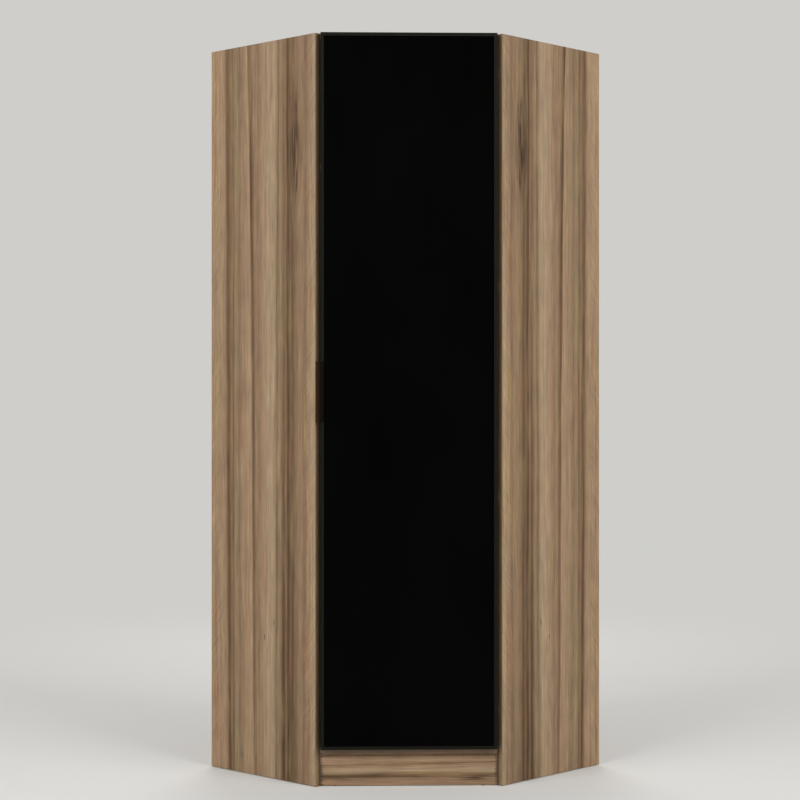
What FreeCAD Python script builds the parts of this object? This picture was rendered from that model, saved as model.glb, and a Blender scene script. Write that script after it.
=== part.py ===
import FreeCAD
import Part
import Sketcher
import os
from FreeCAD import Placement, Rotation, Vector

# A corner wardrobe with one door, in millimetres. +Z is up, the door faces -Y and the two walls meet
# behind it. The origin is on the floor, at the middle of the wardrobe's box.

doc = FreeCAD.newDocument("corner_wardrobe")

# Driving sizes: name, value, what it measures
sizes = [
    ("wall_leg", 800, "wall side, from the back corner to the outer face of a side panel"),
    ("side_depth", 435, "side panel, from the wall to its front edge"),
    ("carcass_height", 2080, "floor to the top of the carcass"),
    ("side_board", 18, "thickness of a side panel"),
    ("top_board", 18, "thickness of the top panel"),
    ("bottom_board", 22, "thickness of the bottom panel"),
    ("shelf_board", 18, "thickness of the hat shelf"),
    ("back_board", 8, "thickness of a back panel"),
    ("edge_band", 1, "thickness of the edge bands"),
    ("hat_space", 342, "hat shelf to the top panel"),
    ("plinth_height", 85, "floor to the underside of the bottom panel"),
    ("plinth_board", 16, "thickness of the plinth"),
    ("plinth_gap", 0.8, "gap at each end of the plinth"),
    ("plinth_block", 20, "section of a plinth block"),
    ("plinth_block_length", 60, "length of a plinth block"),
    ("plinth_block_inset", 95, "middle of a plinth block from the side panel"),
    ("plinth_screw_place", 15, "plinth block screw from the middle of its block"),
    ("plinth_bite", 10, "plinth block screw past its block"),
    ("support_board", 16, "thickness of the board under the bottom panel"),
    ("post_side", 30, "section of the back corner post"),
    ("glide_height", 2, "floor to the underside of the boards"),
    ("glide_radius", 7, "floor glide"),
    ("glide_inset", 40, "floor glide from the end of its board"),
    ("nail_radius", 1, "nail of a floor glide"),
    ("nail_length", 12, "nail of a floor glide"),
    ("fit_gap", 0.1, "gap round a screw, dowel or fitting in its hole"),
    ("loose_gap", 0.3, "gap between pieces that are only laid together"),
    ("tip_gap", 0.5, "room past the end of a screw, bolt or dowel"),
    ("cam_radius", 7.5, "cam lock"),
    ("cam_height", 12.5, "cam lock"),
    ("cam_setback", 24, "cam lock from the end of its board"),
    ("cam_slot", 1.6, "width and depth of the slot in a cam lock"),
    ("cam_bolt_radius", 3, "cam bolt"),
    ("cam_bolt_grip", 11, "cam bolt inside the side panel"),
    ("dowel_radius", 4, "dowel"),
    ("dowel_length", 35, "dowel"),
    ("dowel_grip", 11, "dowel inside the side panel"),
    ("fitting_inset", 60, "rear cam lock from the wall"),
    ("fitting_front", 85, "front cam lock from the front of the side panel"),
    ("screw_radius", 1.75, "shank of a chipboard screw"),
    ("screw_head_radius", 3.5, "head of a chipboard screw"),
    ("screw_head", 2, "height of a screw head"),
    ("long_screw", 25, "screws of the back panels and the handle"),
    ("short_screw", 12, "screws of the metal fittings"),
    ("back_screw_inset", 180, "first screw of a back panel from the back corner"),
    ("back_screw_pitch", 400, "screw to screw along a back panel"),
    ("post_screw_level", 420, "lowest screw of the corner post"),
    ("post_screw_pitch", 520, "screw to screw up the corner post"),
    ("post_screw_shift", 40, "screws of the right back panel above those of the left one"),
    ("wall_bracket_width", 30, "wall bracket"),
    ("wall_bracket_leg", 40, "wall bracket"),
    ("wall_bracket_metal", 2, "wall bracket"),
    ("wall_bracket_place", 380, "wall bracket from the back corner"),
    ("wall_bracket_screw", 24, "wall bracket screw from the back panel"),
    ("wall_hole_radius", 3, "hole for the wall screw"),
    ("rail_radius", 12.5, "hanging rail"),
    ("rail_wall", 1.5, "hanging rail"),
    ("rail_length", 820, "hanging rail"),
    ("rail_setback", 280, "hanging rail behind the front of the carcass"),
    ("rail_drop", 52, "hanging rail below the hat shelf"),
    ("rail_ring", 4, "wall of the ring that holds the rail"),
    ("rail_bracket_inset", 80, "rail bracket from the end of the rail"),
    ("rail_bracket_width", 12, "ring and stem of a rail bracket"),
    ("rail_plate_length", 52, "screwed plate of a rail bracket"),
    ("rail_plate_width", 26, "screwed plate of a rail bracket"),
    ("rail_plate_metal", 3, "screwed plate of a rail bracket"),
    ("rail_screw_place", 18, "rail bracket screw from the middle of its plate"),
    ("rail_cap_rim", 3, "rim of a rail end cap"),
    ("rail_cap_plug", 12, "plug of a rail end cap"),
    ("door_side_gap", 1.4, "door to the inner edge of a side panel, at each side"),
    ("door_lap", 3, "door below the top of the bottom panel"),
    ("door_gap", 2, "closed door to the front of the carcass"),
    ("door_board_depth", 16, "thickness of the door board"),
    ("glass_depth", 4, "thickness of the door glass"),
    ("tape_depth", 0.5, "bonding tape between glass and board"),
    ("tape_width", 25, "bonding tape"),
    ("tape_inset", 40, "bonding tape from the edge of the door"),
    ("frame_lip", 1.5, "metal in front of the glass"),
    ("frame_face", 9, "width of the frame seen from the front"),
    ("frame_wall", 1.5, "metal round the edge of the door"),
    ("hinge_inset", 110, "outer hinges from the ends of the door"),
    ("pin_inset", 5, "hinge pin from the edge of the door"),
    ("pin_clear", 1.2, "knuckle of a hinge to the front of its pocket"),
    ("pin_radius", 2, "hinge pin"),
    ("pin_gap", 0.05, "running gap round the hinge pin"),
    ("knuckle_radius", 3.8, "knuckle of the hinge arm"),
    ("arm_width", 14, "hinge arm, along the pin"),
    ("arm_metal", 5, "thickness of the hinge arm"),
    ("arm_reach", 62, "hinge arm along the side panel"),
    ("plate_height", 6.5, "rib of the hinge plate off the side panel"),
    ("plate_length", 40, "rib of the hinge plate"),
    ("plate_setback", 22, "hinge plate behind the front of the side panel"),
    ("wing_metal", 2.5, "wings of the hinge plate"),
    ("wing_width", 16, "wings of the hinge plate"),
    ("wing_span", 52, "hinge plate, from wing tip to wing tip"),
    ("wing_screw_place", 17, "hinge plate screw from the middle of the plate"),
    ("cup_radius", 17.5, "bore of the hinge cup"),
    ("cup_land", 1.5, "door board left between the hinge cup and the pocket"),
    ("cup_depth", 11, "hinge cup"),
    ("cup_wall", 1.2, "hinge cup"),
    ("flange_metal", 1.5, "flange of the hinge cup"),
    ("flange_span", 62, "flange of the hinge cup, along the door's edge"),
    ("flange_rim", 1.5, "flange of the hinge cup past the cup"),
    ("cup_screw_place", 25, "hinge cup screw from the middle of the cup"),
    ("ear_metal", 3, "ears of the hinge cup"),
    ("ear_round", 3.5, "metal round the pin in an ear"),
    ("pocket_room", 0.7, "pocket in the door beyond the knuckle"),
    ("pocket_gap", 0.6, "room above and below a hinge in its pocket"),
    ("handle_level", 1090, "floor to the middle of the handle"),
    ("handle_length", 167, "handle"),
    ("handle_overhang", 14, "handle past the edge of the door"),
    ("handle_cover", 9, "handle over the front of the door"),
    ("handle_front", 4, "thickness of the handle in front of the door"),
    ("handle_wall", 2, "thickness of the handle beside the door"),
    ("handle_return", 16, "handle along the edge of the door"),
    ("handle_round", 1.2, "rounding of the handle's front edges"),
    ("handle_screw_place", 60, "handle screw from the middle of the handle"),
    ("handle_screw_inset", 4, "handle screw behind the front of the door board"),
    ("catch_inset", 95, "middle of the magnetic catch from the side panel"),
    ("catch_length", 36, "magnetic catch"),
    ("catch_depth", 15, "magnetic catch"),
    ("catch_height", 13, "magnetic catch"),
    ("catch_ear", 14, "screw ears of the magnetic catch"),
    ("catch_ear_metal", 3, "screw ears of the magnetic catch"),
    ("catch_plate_metal", 1.5, "catch plate on the door"),
    ("catch_plate_length", 32, "catch plate on the door"),
    ("catch_plate_height", 12, "catch plate on the door"),
    ("bumper_radius", 4, "door bumper"),
    ("bumper_gap", 0.3, "door bumper to the carcass, with the door closed"),
    ("bumper_inset", 29, "door bumper from the edge of the door"),
]

# Places worked out from the driving sizes. In the corner frame, x runs along the left wall and y along
# the right wall, both from the back corner, and a piece of the right half is one of the left half with
# x and y changed over.
places = [
    ("inner_leg", "size.wall_leg - size.side_board"),
    ("front_sum", "inner_leg + size.side_depth"),
    ("board_sum", "front_sum - size.edge_band * sqrt(2)"),
    ("front_depth", "front_sum / sqrt(2)"),
    ("inner_half", "(inner_leg - size.side_depth) / sqrt(2)"),
    ("door_depth", "size.frame_lip + size.glass_depth + size.tape_depth + size.door_board_depth"),
    ("corner_y", "(front_depth + size.door_gap + door_depth + size.handle_front) / 2"),
    ("carcass_front", "corner_y - front_depth"),
    ("plinth_back", "carcass_front + size.plinth_board"),
    ("top_low", "size.carcass_height - size.top_board"),
    ("bottom_high", "size.plinth_height + size.bottom_board"),
    ("shelf_top", "top_low - size.hat_space"),
    ("shelf_low", "shelf_top - size.shelf_board"),
    ("rail_y", "carcass_front + size.rail_setback"),
    ("rail_z", "shelf_low - size.rail_drop"),
    ("door_half", "inner_half - size.door_side_gap"),
    ("door_top", "size.carcass_height"),
    ("door_bottom", "bottom_high - size.door_lap"),
    ("door_back", "carcass_front - size.door_gap"),
    ("door_front", "door_back - door_depth"),
    ("glass_front", "door_front + size.frame_lip"),
    ("glass_back", "glass_front + size.glass_depth"),
    ("board_front", "glass_back + size.tape_depth"),
    ("inside_half", "door_half - size.frame_wall"),
    ("inside_low", "door_bottom + size.frame_wall"),
    ("inside_high", "door_top - size.frame_wall"),
    ("pin_x", "door_half - size.pin_inset"),
    ("pin_y", "board_front + size.pin_clear + size.knuckle_radius"),
    ("pin_left", "(corner_y - pin_y - pin_x) / sqrt(2)"),
    ("pin_right", "(corner_y - pin_y + pin_x) / sqrt(2)"),
    ("arm_outer", "inner_leg - size.plate_height"),
    ("arm_inner", "arm_outer - size.arm_metal"),
    ("shank_length", "(pin_right - arm_outer + size.arm_metal / 2) * sqrt(2)"),
    ("bend_left", "pin_left - shank_length / sqrt(2)"),
    ("plate_front", "size.side_depth - size.plate_setback"),
    ("plate_middle", "plate_front - size.plate_length / 2"),
    ("ear_inner", "size.arm_width / 2 + size.loose_gap"),
    ("ear_outer", "ear_inner + size.ear_metal"),
    ("pocket_left", "pin_x - size.knuckle_radius - size.pocket_room"),
    ("pocket_half", "ear_outer + size.pocket_gap"),
    ("cup_x", "pocket_left - size.cup_land - size.cup_radius"),
    ("hinge_pitch", "(door_top - door_bottom - 2 * size.hinge_inset) / 3"),
    ("hinge_level_1", "door_bottom + size.hinge_inset"),
    ("hinge_level_2", "hinge_level_1 + hinge_pitch"),
    ("hinge_level_3", "hinge_level_2 + hinge_pitch"),
    ("hinge_level_4", "hinge_level_3 + hinge_pitch"),
    ("handle_low", "size.handle_level - size.handle_length / 2"),
    ("screw_hole", "size.screw_radius + size.fit_gap"),
    ("head_hole", "size.screw_head_radius + size.fit_gap"),
]


def fill_sheet(name, rows, lead):
    sheet = doc.addObject("Spreadsheet::Sheet", name)
    for row, (alias, content, *note) in enumerate(rows, start=1):
        sheet.set(f"A{row}", " ".join([alias.replace("_", " ")] + note))
        sheet.set(f"B{row}", lead + str(content))
        sheet.setAlias(f"B{row}", alias)
    doc.recompute()
    return sheet


fill_sheet("size", sizes, "")
layout = fill_sheet("layout", places, "=")

corner_turn = Rotation(Vector(0, 0, 1), 225)
turns = {
    "+x": Rotation(Vector(0, 1, 0), 90),
    "-x": Rotation(Vector(0, 1, 0), -90),
    "+y": Rotation(Vector(1, 0, 0), -90),
    "-y": Rotation(Vector(1, 0, 0), 90),
    "+z": Rotation(),
    "-z": Rotation(Vector(1, 0, 0), 180),
}
opposite = {"+x": "-x", "-x": "+x", "+y": "-y", "-y": "+y", "+z": "-z", "-z": "+z"}
nodes = {}


def put(made, x, y, z, turn=Rotation()):
    made.Placement = Placement(Vector(), turn)
    for axis, formula in zip("xyz", (x, y, z)):
        made.setExpression(f"Placement.Base.{axis}", formula)
    return made


def block(x, y, z, name="block"):
    made = doc.addObject("Part::Box", name)
    for side, (low, high) in zip(("Length", "Width", "Height"), (x, y, z)):
        made.setExpression(side, f"({high}) - ({low})")
    return put(made, x[0], y[0], z[0])


def rod(point, direction, length, radius, name="rod"):
    made = doc.addObject("Part::Cylinder", name)
    made.setExpression("Height", length)
    made.setExpression("Radius", radius)
    return put(made, *point, turns[direction])


def group(members, name="group"):
    made = doc.addObject("Part::Compound", name)
    made.Links = members
    return made


def joined(members, name="joined"):
    made = doc.addObject("Part::MultiFuse", name)
    made.Shapes = members
    made.Refine = True
    return made


def cut(base, tools, name="cut"):
    made = doc.addObject("Part::Cut", name)
    made.Base = base
    made.Tool = joined(tools, "tools") if len(tools) > 1 else tools[0]
    return made


def keep(made, name):
    made.Label = name
    nodes[name] = made


def keep_in_corner(made, name):
    put(made, "0", "layout.corner_y", "0", corner_turn)
    keep(made, name)


def about(middle, half):
    return (f"{middle} - {half}", f"{middle} + {half}")


# A flat outline with straight sides, drawn on the floor plane and padded upwards
def padded_outline(points, thickness, name="outline"):
    body = doc.addObject("PartDesign::Body", name)
    floor_plane = [plane for plane in body.Origin.OriginFeatures if plane.Role == "XY_Plane"][0]
    sketch = body.newObject("Sketcher::SketchObject", name + "_sketch")
    sketch.AttachmentSupport = [(floor_plane, "")]
    sketch.MapMode = "FlatFace"
    corners = [Vector(*(float(layout.evalExpression(part)) for part in point), 0) for point in points]
    last = len(corners) - 1
    for index, corner in enumerate(corners):
        following = corners[0 if index == last else index + 1]
        sketch.addGeometry(Part.LineSegment(corner, following), False)
    for index in range(len(corners)):
        following = 0 if index == last else index + 1
        sketch.addConstraint(Sketcher.Constraint("Coincident", index, 2, following, 1))
    for index, (point, corner) in enumerate(zip(points, corners)):
        for kind, formula, reading, axis in (("DistanceX", point[0], corner.x, -2),
                                             ("DistanceY", point[1], corner.y, -1)):
            if formula == "0":
                sketch.addConstraint(Sketcher.Constraint("PointOnObject", index, 1, axis))
                continue
            number = sketch.addConstraint(Sketcher.Constraint(kind, -1, 1, index, 1, reading))
            sketch.setExpression(f"Constraints[{number}]", formula)
    pad = body.newObject("PartDesign::Pad", name + "_pad")
    pad.Profile = sketch
    pad.setExpression("Length", thickness)
    doc.recompute()
    return body


# A screw's point is under its head, and the screw runs from there along its direction
def screw(point, direction, length):
    shank = rod(point, direction, length, "size.screw_radius", "shank")
    head = rod(point, opposite[direction], "size.screw_head", "size.screw_head_radius", "head")
    return joined([shank, head], "screw")


def screw_hole(point, direction, length):
    return rod(point, direction, f"{length} + size.tip_gap", "layout.screw_hole", "screw_hole")


def head_hole(point, direction):
    return rod(point, opposite[direction], "size.screw_head", "layout.head_hole", "head_hole")


def nail_hole(spot):
    return rod((*spot, "size.glide_height"), "+z", "size.nail_length + size.tip_gap",
               "size.nail_radius + size.fit_gap", "nail_hole")


# Corner frame: across is measured along a side's own wall, along is measured off that wall
def plan(side, across, along):
    return (across, along) if side == "left" else (along, across)


def across_way(side, sign):
    return sign + ("x" if side == "left" else "y")


def along_way(side, sign):
    return sign + ("y" if side == "left" else "x")


def from_corner(x, y):
    return f"(({y}) - ({x})) / sqrt(2)", f"layout.corner_y - (({x}) + ({y})) / sqrt(2)"


sides = ("left", "right")
board_heights = ("size.glide_height", "size.carcass_height")
boards = {
    "top_panel": ("layout.top_low", "size.top_board"),
    "bottom_panel": ("size.plinth_height", "size.bottom_board"),
    "hat_shelf": ("layout.shelf_low", "size.shelf_board"),
}
fitting_places = ("size.fitting_inset", "size.side_depth - size.fitting_front")
dowel_place = "(size.fitting_inset + size.side_depth - size.fitting_front) / 2"
hinge_levels = [f"layout.hinge_level_{count}" for count in (1, 2, 3, 4)]

panel_holes = {side: [] for side in sides}
back_holes = {side: [] for side in sides}
board_holes = {name: [] for name in boards}
post_holes = []

# Cam locks, cam bolts and dowels between the five-sided boards and the side panels
cam_locks = []
cam_bolts = []
dowels = []
for board, (low, thickness) in boards.items():
    middle = f"{low} + {thickness} / 2"
    for side in sides:
        outwards = across_way(side, "+")
        inwards = across_way(side, "-")
        for along in fitting_places:
            seat = (*plan(side, "layout.inner_leg - size.cam_setback", along), low)
            lock = rod(seat, "+z", "size.cam_height", "size.cam_radius", "cam")
            slot = block(about(seat[0], "size.cam_slot / 2"), about(seat[1], "size.cam_radius"),
                         (low, f"{low} + size.cam_slot"), "slot")
            cam_locks.append(cut(lock, [slot], "cam_lock"))
            face = (*plan(side, "layout.inner_leg", along), middle)
            end = (*plan(side, "layout.inner_leg + size.cam_bolt_grip", along), middle)
            reach = "size.cam_bolt_grip + size.cam_setback - size.cam_radius - 2 * size.fit_gap"
            cam_bolts.append(rod(end, inwards, reach, "size.cam_bolt_radius", "cam_bolt"))
            bolt_hole = "size.cam_bolt_radius + size.fit_gap"
            grip = "size.cam_bolt_grip + size.tip_gap"
            panel_holes[side].append(rod(face, outwards, grip, bolt_hole))
            board_holes[board].append(rod(face, inwards, "size.cam_setback", bolt_hole))
            board_holes[board].append(
                rod(seat, "+z", "size.cam_height + size.tip_gap", "size.cam_radius + size.fit_gap"))
        face = (*plan(side, "layout.inner_leg", dowel_place), middle)
        end = (*plan(side, "layout.inner_leg + size.dowel_grip", dowel_place), middle)
        dowels.append(rod(end, inwards, "size.dowel_length", "size.dowel_radius", "dowel"))
        dowel_hole = "size.dowel_radius + size.fit_gap"
        rest = "size.dowel_length - size.dowel_grip + size.tip_gap"
        panel_holes[side].append(rod(face, outwards, "size.dowel_grip + size.tip_gap", dowel_hole))
        board_holes[board].append(rod(face, inwards, rest, dowel_hole))
keep_in_corner(group(cam_locks, "cam_locks"), "cam_locks")
keep_in_corner(group(cam_bolts, "cam_bolts"), "cam_bolts")
keep_in_corner(group(dowels, "dowels"), "dowels")

# Screws through the back panels, into the boards' rear edges and into the corner post
back_screws = []
for side in sides:
    inwards = along_way(side, "+")
    for board, (low, thickness) in boards.items():
        for across in ("size.back_screw_inset", "size.back_screw_inset + size.back_screw_pitch"):
            point = (*plan(side, across, "size.screw_head"), f"{low} + {thickness} / 2")
            hole = screw_hole(point, inwards, "size.long_screw")
            back_screws.append(screw(point, inwards, "size.long_screw"))
            back_holes[side] += [hole, head_hole(point, inwards)]
            board_holes[board].append(hole)
    shift = "0" if side == "left" else "size.post_screw_shift"
    for count in range(3):
        level = f"size.post_screw_level + {count} * size.post_screw_pitch + {shift}"
        point = (*plan(side, "size.back_board + size.post_side / 2", "size.screw_head"), level)
        hole = screw_hole(point, inwards, "size.long_screw")
        back_screws.append(screw(point, inwards, "size.long_screw"))
        back_holes[side] += [hole, head_hole(point, inwards)]
        post_holes.append(hole)
keep_in_corner(group(back_screws, "back_panel_screws"), "back_panel_screws")

# Wall brackets: angles under the top panel, with a hole for a wall screw through the back panel
brackets = []
bracket_screws = []
for side in sides:
    across = about("size.wall_bracket_place", "size.wall_bracket_width / 2")
    upright = ("size.back_board", "size.back_board + size.wall_bracket_metal")
    flat = ("size.back_board", "size.back_board + size.wall_bracket_leg")
    foot = block(*plan(side, across, upright), ("layout.top_low - size.wall_bracket_leg", "layout.top_low"))
    ledge = block(*plan(side, across, flat), ("layout.top_low - size.wall_bracket_metal", "layout.top_low"))
    wall_point = (*plan(side, "size.wall_bracket_place", "0"),
                  "layout.top_low - size.wall_bracket_leg / 2 - size.wall_bracket_metal / 2")
    wall_hole = rod(wall_point, along_way(side, "+"), "size.back_board + size.wall_bracket_metal",
                    "size.wall_hole_radius")
    screw_along = "size.back_board + size.wall_bracket_screw"
    point = (*plan(side, "size.wall_bracket_place", screw_along), "layout.top_low - size.wall_bracket_metal")
    hole = screw_hole(point, "+z", "size.short_screw")
    brackets.append(cut(joined([foot, ledge]), [wall_hole, hole], "wall_bracket"))
    bracket_screws.append(screw(point, "+z", "size.short_screw"))
    back_holes[side].append(wall_hole)
    board_holes["top_panel"].append(hole)
keep_in_corner(group(brackets, "wall_brackets"), "wall_brackets")
keep_in_corner(group(bracket_screws, "wall_bracket_screws"), "wall_bracket_screws")

# Hinge plates and angled arms on the right side panel. The arm's shank runs straight in from the pin
# behind the closed door, then bends by 45 degrees and lies on the plate's rib.
plate_screws = []
arm_screws = []
arm_half = "size.arm_width / 2"
for count, level in enumerate(hinge_levels, start=1):
    arm_z = about(level, arm_half)
    rib = block(("layout.plate_front - size.plate_length", "layout.plate_front"),
                ("layout.arm_outer", "layout.inner_leg"), arm_z, "rib")
    wing = block(about("layout.plate_middle", "size.wing_width / 2"),
                 ("layout.inner_leg - size.wing_metal", "layout.inner_leg"),
                 about(level, "size.wing_span / 2"), "wing")
    plate_holes = []
    for sign in ("+", "-"):
        point = ("layout.plate_middle", "layout.inner_leg - size.wing_metal",
                 f"{level} {sign} size.wing_screw_place")
        hole = screw_hole(point, "+y", "size.short_screw")
        plate_holes.append(hole)
        panel_holes["right"].append(hole)
        plate_screws.append(screw(point, "+y", "size.short_screw"))
    arm_point = ("layout.plate_middle", "layout.arm_inner", level)
    arm_grip = "size.arm_metal + size.plate_height - size.tip_gap"
    arm_hole = rod(arm_point, "+y", "size.arm_metal + size.plate_height", "layout.screw_hole")
    arm_screws.append(screw(arm_point, "+y", arm_grip))
    keep_in_corner(cut(joined([rib, wing]), plate_holes + [arm_hole], f"hinge_plate_{count}"),
                   f"hinge_plate_{count}")
    arm_low = f"{level} - {arm_half}"
    knuckle = rod(("layout.pin_left", "layout.pin_right", arm_low), "+z", "size.arm_width",
                  "size.knuckle_radius", "knuckle")
    shank = block(("0", "layout.shank_length"), ("0", "size.arm_metal"), arm_z, "shank")
    put(shank, "layout.pin_left - size.arm_metal / 2 / sqrt(2)",
        "layout.pin_right + size.arm_metal / 2 / sqrt(2)", arm_low, corner_turn)
    bend = rod(("layout.bend_left", "layout.arm_inner + size.arm_metal / 2", arm_low), "+z",
               "size.arm_width", "size.arm_metal / 2", "bend")
    leg = block(("layout.bend_left - size.arm_reach", "layout.bend_left"),
                ("layout.arm_inner", "layout.arm_outer"), arm_z, "leg")
    pin_hole = rod(("layout.pin_left", "layout.pin_right", arm_low), "+z", "size.arm_width",
                   "size.pin_radius + size.pin_gap", "pin_hole")
    arm = joined([knuckle, shank, bend, leg])
    keep_in_corner(cut(arm, [pin_hole, arm_hole], f"hinge_arm_{count}"), f"hinge_arm_{count}")
keep_in_corner(group(plate_screws, "hinge_plate_screws"), "hinge_plate_screws")
keep_in_corner(group(arm_screws, "hinge_arm_screws"), "hinge_arm_screws")

# Floor glides under the side panels, the plinth and the support board
glide_spots = []
for side in sides:
    for along in ("size.glide_inset", "size.side_depth - size.glide_inset"):
        spot = plan(side, "size.wall_leg - size.side_board / 2", along)
        glide_spots.append(from_corner(*spot))
        panel_holes[side].append(nail_hole(spot))
plinth_nails = []
for sign in ("+", "-"):
    spot = (f"{sign}(layout.inner_half - size.glide_inset)",
            "layout.carcass_front + size.plinth_board / 2")
    glide_spots.append(spot)
    plinth_nails.append(spot)
support_end = "layout.corner_y - size.back_board * sqrt(2) - size.support_board / 2 - size.loose_gap"
support_spot = ("0", f"{support_end} - size.glide_inset")
glide_spots.append(support_spot)
glides = []
for spot in glide_spots:
    foot = rod((*spot, "0"), "+z", "size.glide_height", "size.glide_radius", "foot")
    nail = rod((*spot, "0"), "+z", "size.glide_height + size.nail_length", "size.nail_radius", "nail")
    glides.append(joined([foot, nail], "glide"))
keep(group(glides, "floor_glides"), "floor_glides")

# Hanging rail, parallel to the door, in two ring brackets under the hat shelf
rail_end = "size.rail_length / 2"
tube = rod((f"-{rail_end}", "layout.rail_y", "layout.rail_z"), "+x", "size.rail_length", "size.rail_radius")
bore = rod((f"-{rail_end}", "layout.rail_y", "layout.rail_z"), "+x", "size.rail_length",
           "size.rail_radius - size.rail_wall")
keep(cut(tube, [bore], "hanging_rail"), "hanging_rail")
rail_caps = []
rail_screws = []
shelf_holes = []
for side, sign, outwards in (("left", "-", "-x"), ("right", "", "+x")):
    end = (f"{sign}{rail_end}", "layout.rail_y", "layout.rail_z")
    rim = rod(end, outwards, "size.rail_cap_rim", "size.rail_radius", "rim")
    plug = rod(end, opposite[outwards], "size.rail_cap_plug",
               "size.rail_radius - size.rail_wall - size.fit_gap", "plug")
    rail_caps.append(joined([rim, plug], "rail_cap"))
    middle = f"{sign}({rail_end} - size.rail_bracket_inset)"
    ring_x = about(middle, "size.rail_bracket_width / 2")
    ring = rod((ring_x[0], "layout.rail_y", "layout.rail_z"), "+x", "size.rail_bracket_width",
               "size.rail_radius + size.rail_ring", "ring")
    stem = block(ring_x, about("layout.rail_y", "size.rail_bracket_width / 2"),
                 ("layout.rail_z", "layout.shelf_low"), "stem")
    plate = block(about(middle, "size.rail_plate_length / 2"),
                  about("layout.rail_y", "size.rail_plate_width / 2"),
                  ("layout.shelf_low - size.rail_plate_metal", "layout.shelf_low"), "plate")
    ring_bore = rod((ring_x[0], "layout.rail_y", "layout.rail_z"), "+x", "size.rail_bracket_width",
                    "size.rail_radius + size.fit_gap", "ring_bore")
    plate_holes = []
    for shift in ("+", "-"):
        point = (f"{middle} {shift} size.rail_screw_place", "layout.rail_y",
                 "layout.shelf_low - size.rail_plate_metal")
        plate_holes.append(screw_hole(point, "+z", "size.short_screw"))
        rail_screws.append(screw(point, "+z", "size.short_screw"))
    shelf_holes += plate_holes
    keep(cut(joined([ring, stem, plate]), [ring_bore] + plate_holes, f"rail_bracket_{side}"),
         f"rail_bracket_{side}")
keep(group(rail_caps, "rail_end_caps"), "rail_end_caps")
keep(group(rail_screws, "rail_bracket_screws"), "rail_bracket_screws")

# Magnetic catch under the top panel
catch_middle = "-(layout.inner_half - size.catch_inset)"
catch_half = "size.catch_length / 2"
catch_y = ("layout.carcass_front", "layout.carcass_front + size.catch_depth")
housing = block(about(catch_middle, catch_half), catch_y,
                ("layout.top_low - size.catch_height", "layout.top_low"), "housing")
ears = block(about(catch_middle, f"({catch_half} + size.catch_ear)"), catch_y,
             ("layout.top_low - size.catch_ear_metal", "layout.top_low"), "ears")
catch_holes = []
catch_screws = []
for sign in ("+", "-"):
    point = (f"{catch_middle} {sign} ({catch_half} + size.catch_ear / 2)",
             "layout.carcass_front + size.catch_depth / 2", "layout.top_low - size.catch_ear_metal")
    catch_holes.append(screw_hole(point, "+z", "size.short_screw"))
    catch_screws.append(screw(point, "+z", "size.short_screw"))
keep(cut(joined([housing, ears]), catch_holes, "magnetic_catch"), "magnetic_catch")
keep(group(catch_screws, "catch_screws"), "catch_screws")

# Plinth, its blocks and the support board under the bottom panel
block_half = "size.plinth_block_length / 2"
block_low = "size.plinth_height - size.plinth_block"
block_middle = "size.plinth_height - size.plinth_block / 2"
block_back = "layout.plinth_back + size.plinth_block"
block_y = "layout.plinth_back + size.plinth_block / 2"
block_screw = "size.plinth_block + size.plinth_bite"
plinth_holes = [nail_hole(spot) for spot in plinth_nails]
bottom_holes = []
plinth_blocks = []
block_screws = []
for sign in ("", "-"):
    middle = f"{sign}(layout.inner_half - size.plinth_block_inset)"
    to_plinth = (f"{middle} - size.plinth_screw_place", block_back, block_middle)
    to_bottom = (f"{middle} + size.plinth_screw_place", block_y, block_low)
    plinth_hole = screw_hole(to_plinth, "-y", block_screw)
    bottom_hole = screw_hole(to_bottom, "+z", block_screw)
    solid = block(about(middle, block_half), ("layout.plinth_back", block_back),
                  (block_low, "size.plinth_height"))
    plinth_blocks.append(cut(solid, [plinth_hole, bottom_hole], "plinth_block"))
    block_screws.append(screw(to_plinth, "-y", block_screw))
    block_screws.append(screw(to_bottom, "+z", block_screw))
    plinth_holes.append(plinth_hole)
    bottom_holes.append(bottom_hole)
plinth_end = "(layout.inner_half - size.plinth_gap)"
plinth = block(about("0", plinth_end), ("layout.carcass_front", "layout.plinth_back"),
               ("size.glide_height", "size.plinth_height"))
keep(cut(plinth, plinth_holes, "plinth_board"), "plinth_board")
keep(group(plinth_blocks, "plinth_blocks"), "plinth_blocks")
keep(group(block_screws, "plinth_block_screws"), "plinth_block_screws")
support = block(about("0", "size.support_board / 2"), ("layout.plinth_back", support_end),
                ("size.glide_height", "size.plinth_height"))
keep(cut(support, [nail_hole(support_spot)], "bottom_support"), "bottom_support")

# Side panels with their front edge bands, back panels and the corner post
for side in sides:
    across = ("layout.inner_leg", "size.wall_leg")
    core = block(*plan(side, across, ("0", "size.side_depth - size.edge_band")), board_heights)
    keep_in_corner(cut(core, panel_holes[side], f"{side}_side_panel"), f"{side}_side_panel")
    band = block(*plan(side, across, ("size.side_depth - size.edge_band", "size.side_depth")), board_heights)
    keep_in_corner(group([band], f"{side}_side_edge_band"), f"{side}_side_edge_band")
    start = "size.back_board" if side == "left" else "0"
    back = block(*plan(side, (start, "layout.inner_leg"), ("0", "size.back_board")), board_heights)
    keep_in_corner(cut(back, back_holes[side], f"{side}_back_panel"), f"{side}_back_panel")
post_span = ("size.back_board", "size.back_board + size.post_side")
post = block(post_span, post_span, ("layout.bottom_high", "layout.top_low"))
keep_in_corner(cut(post, post_holes, "back_corner_post"), "back_corner_post")

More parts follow.
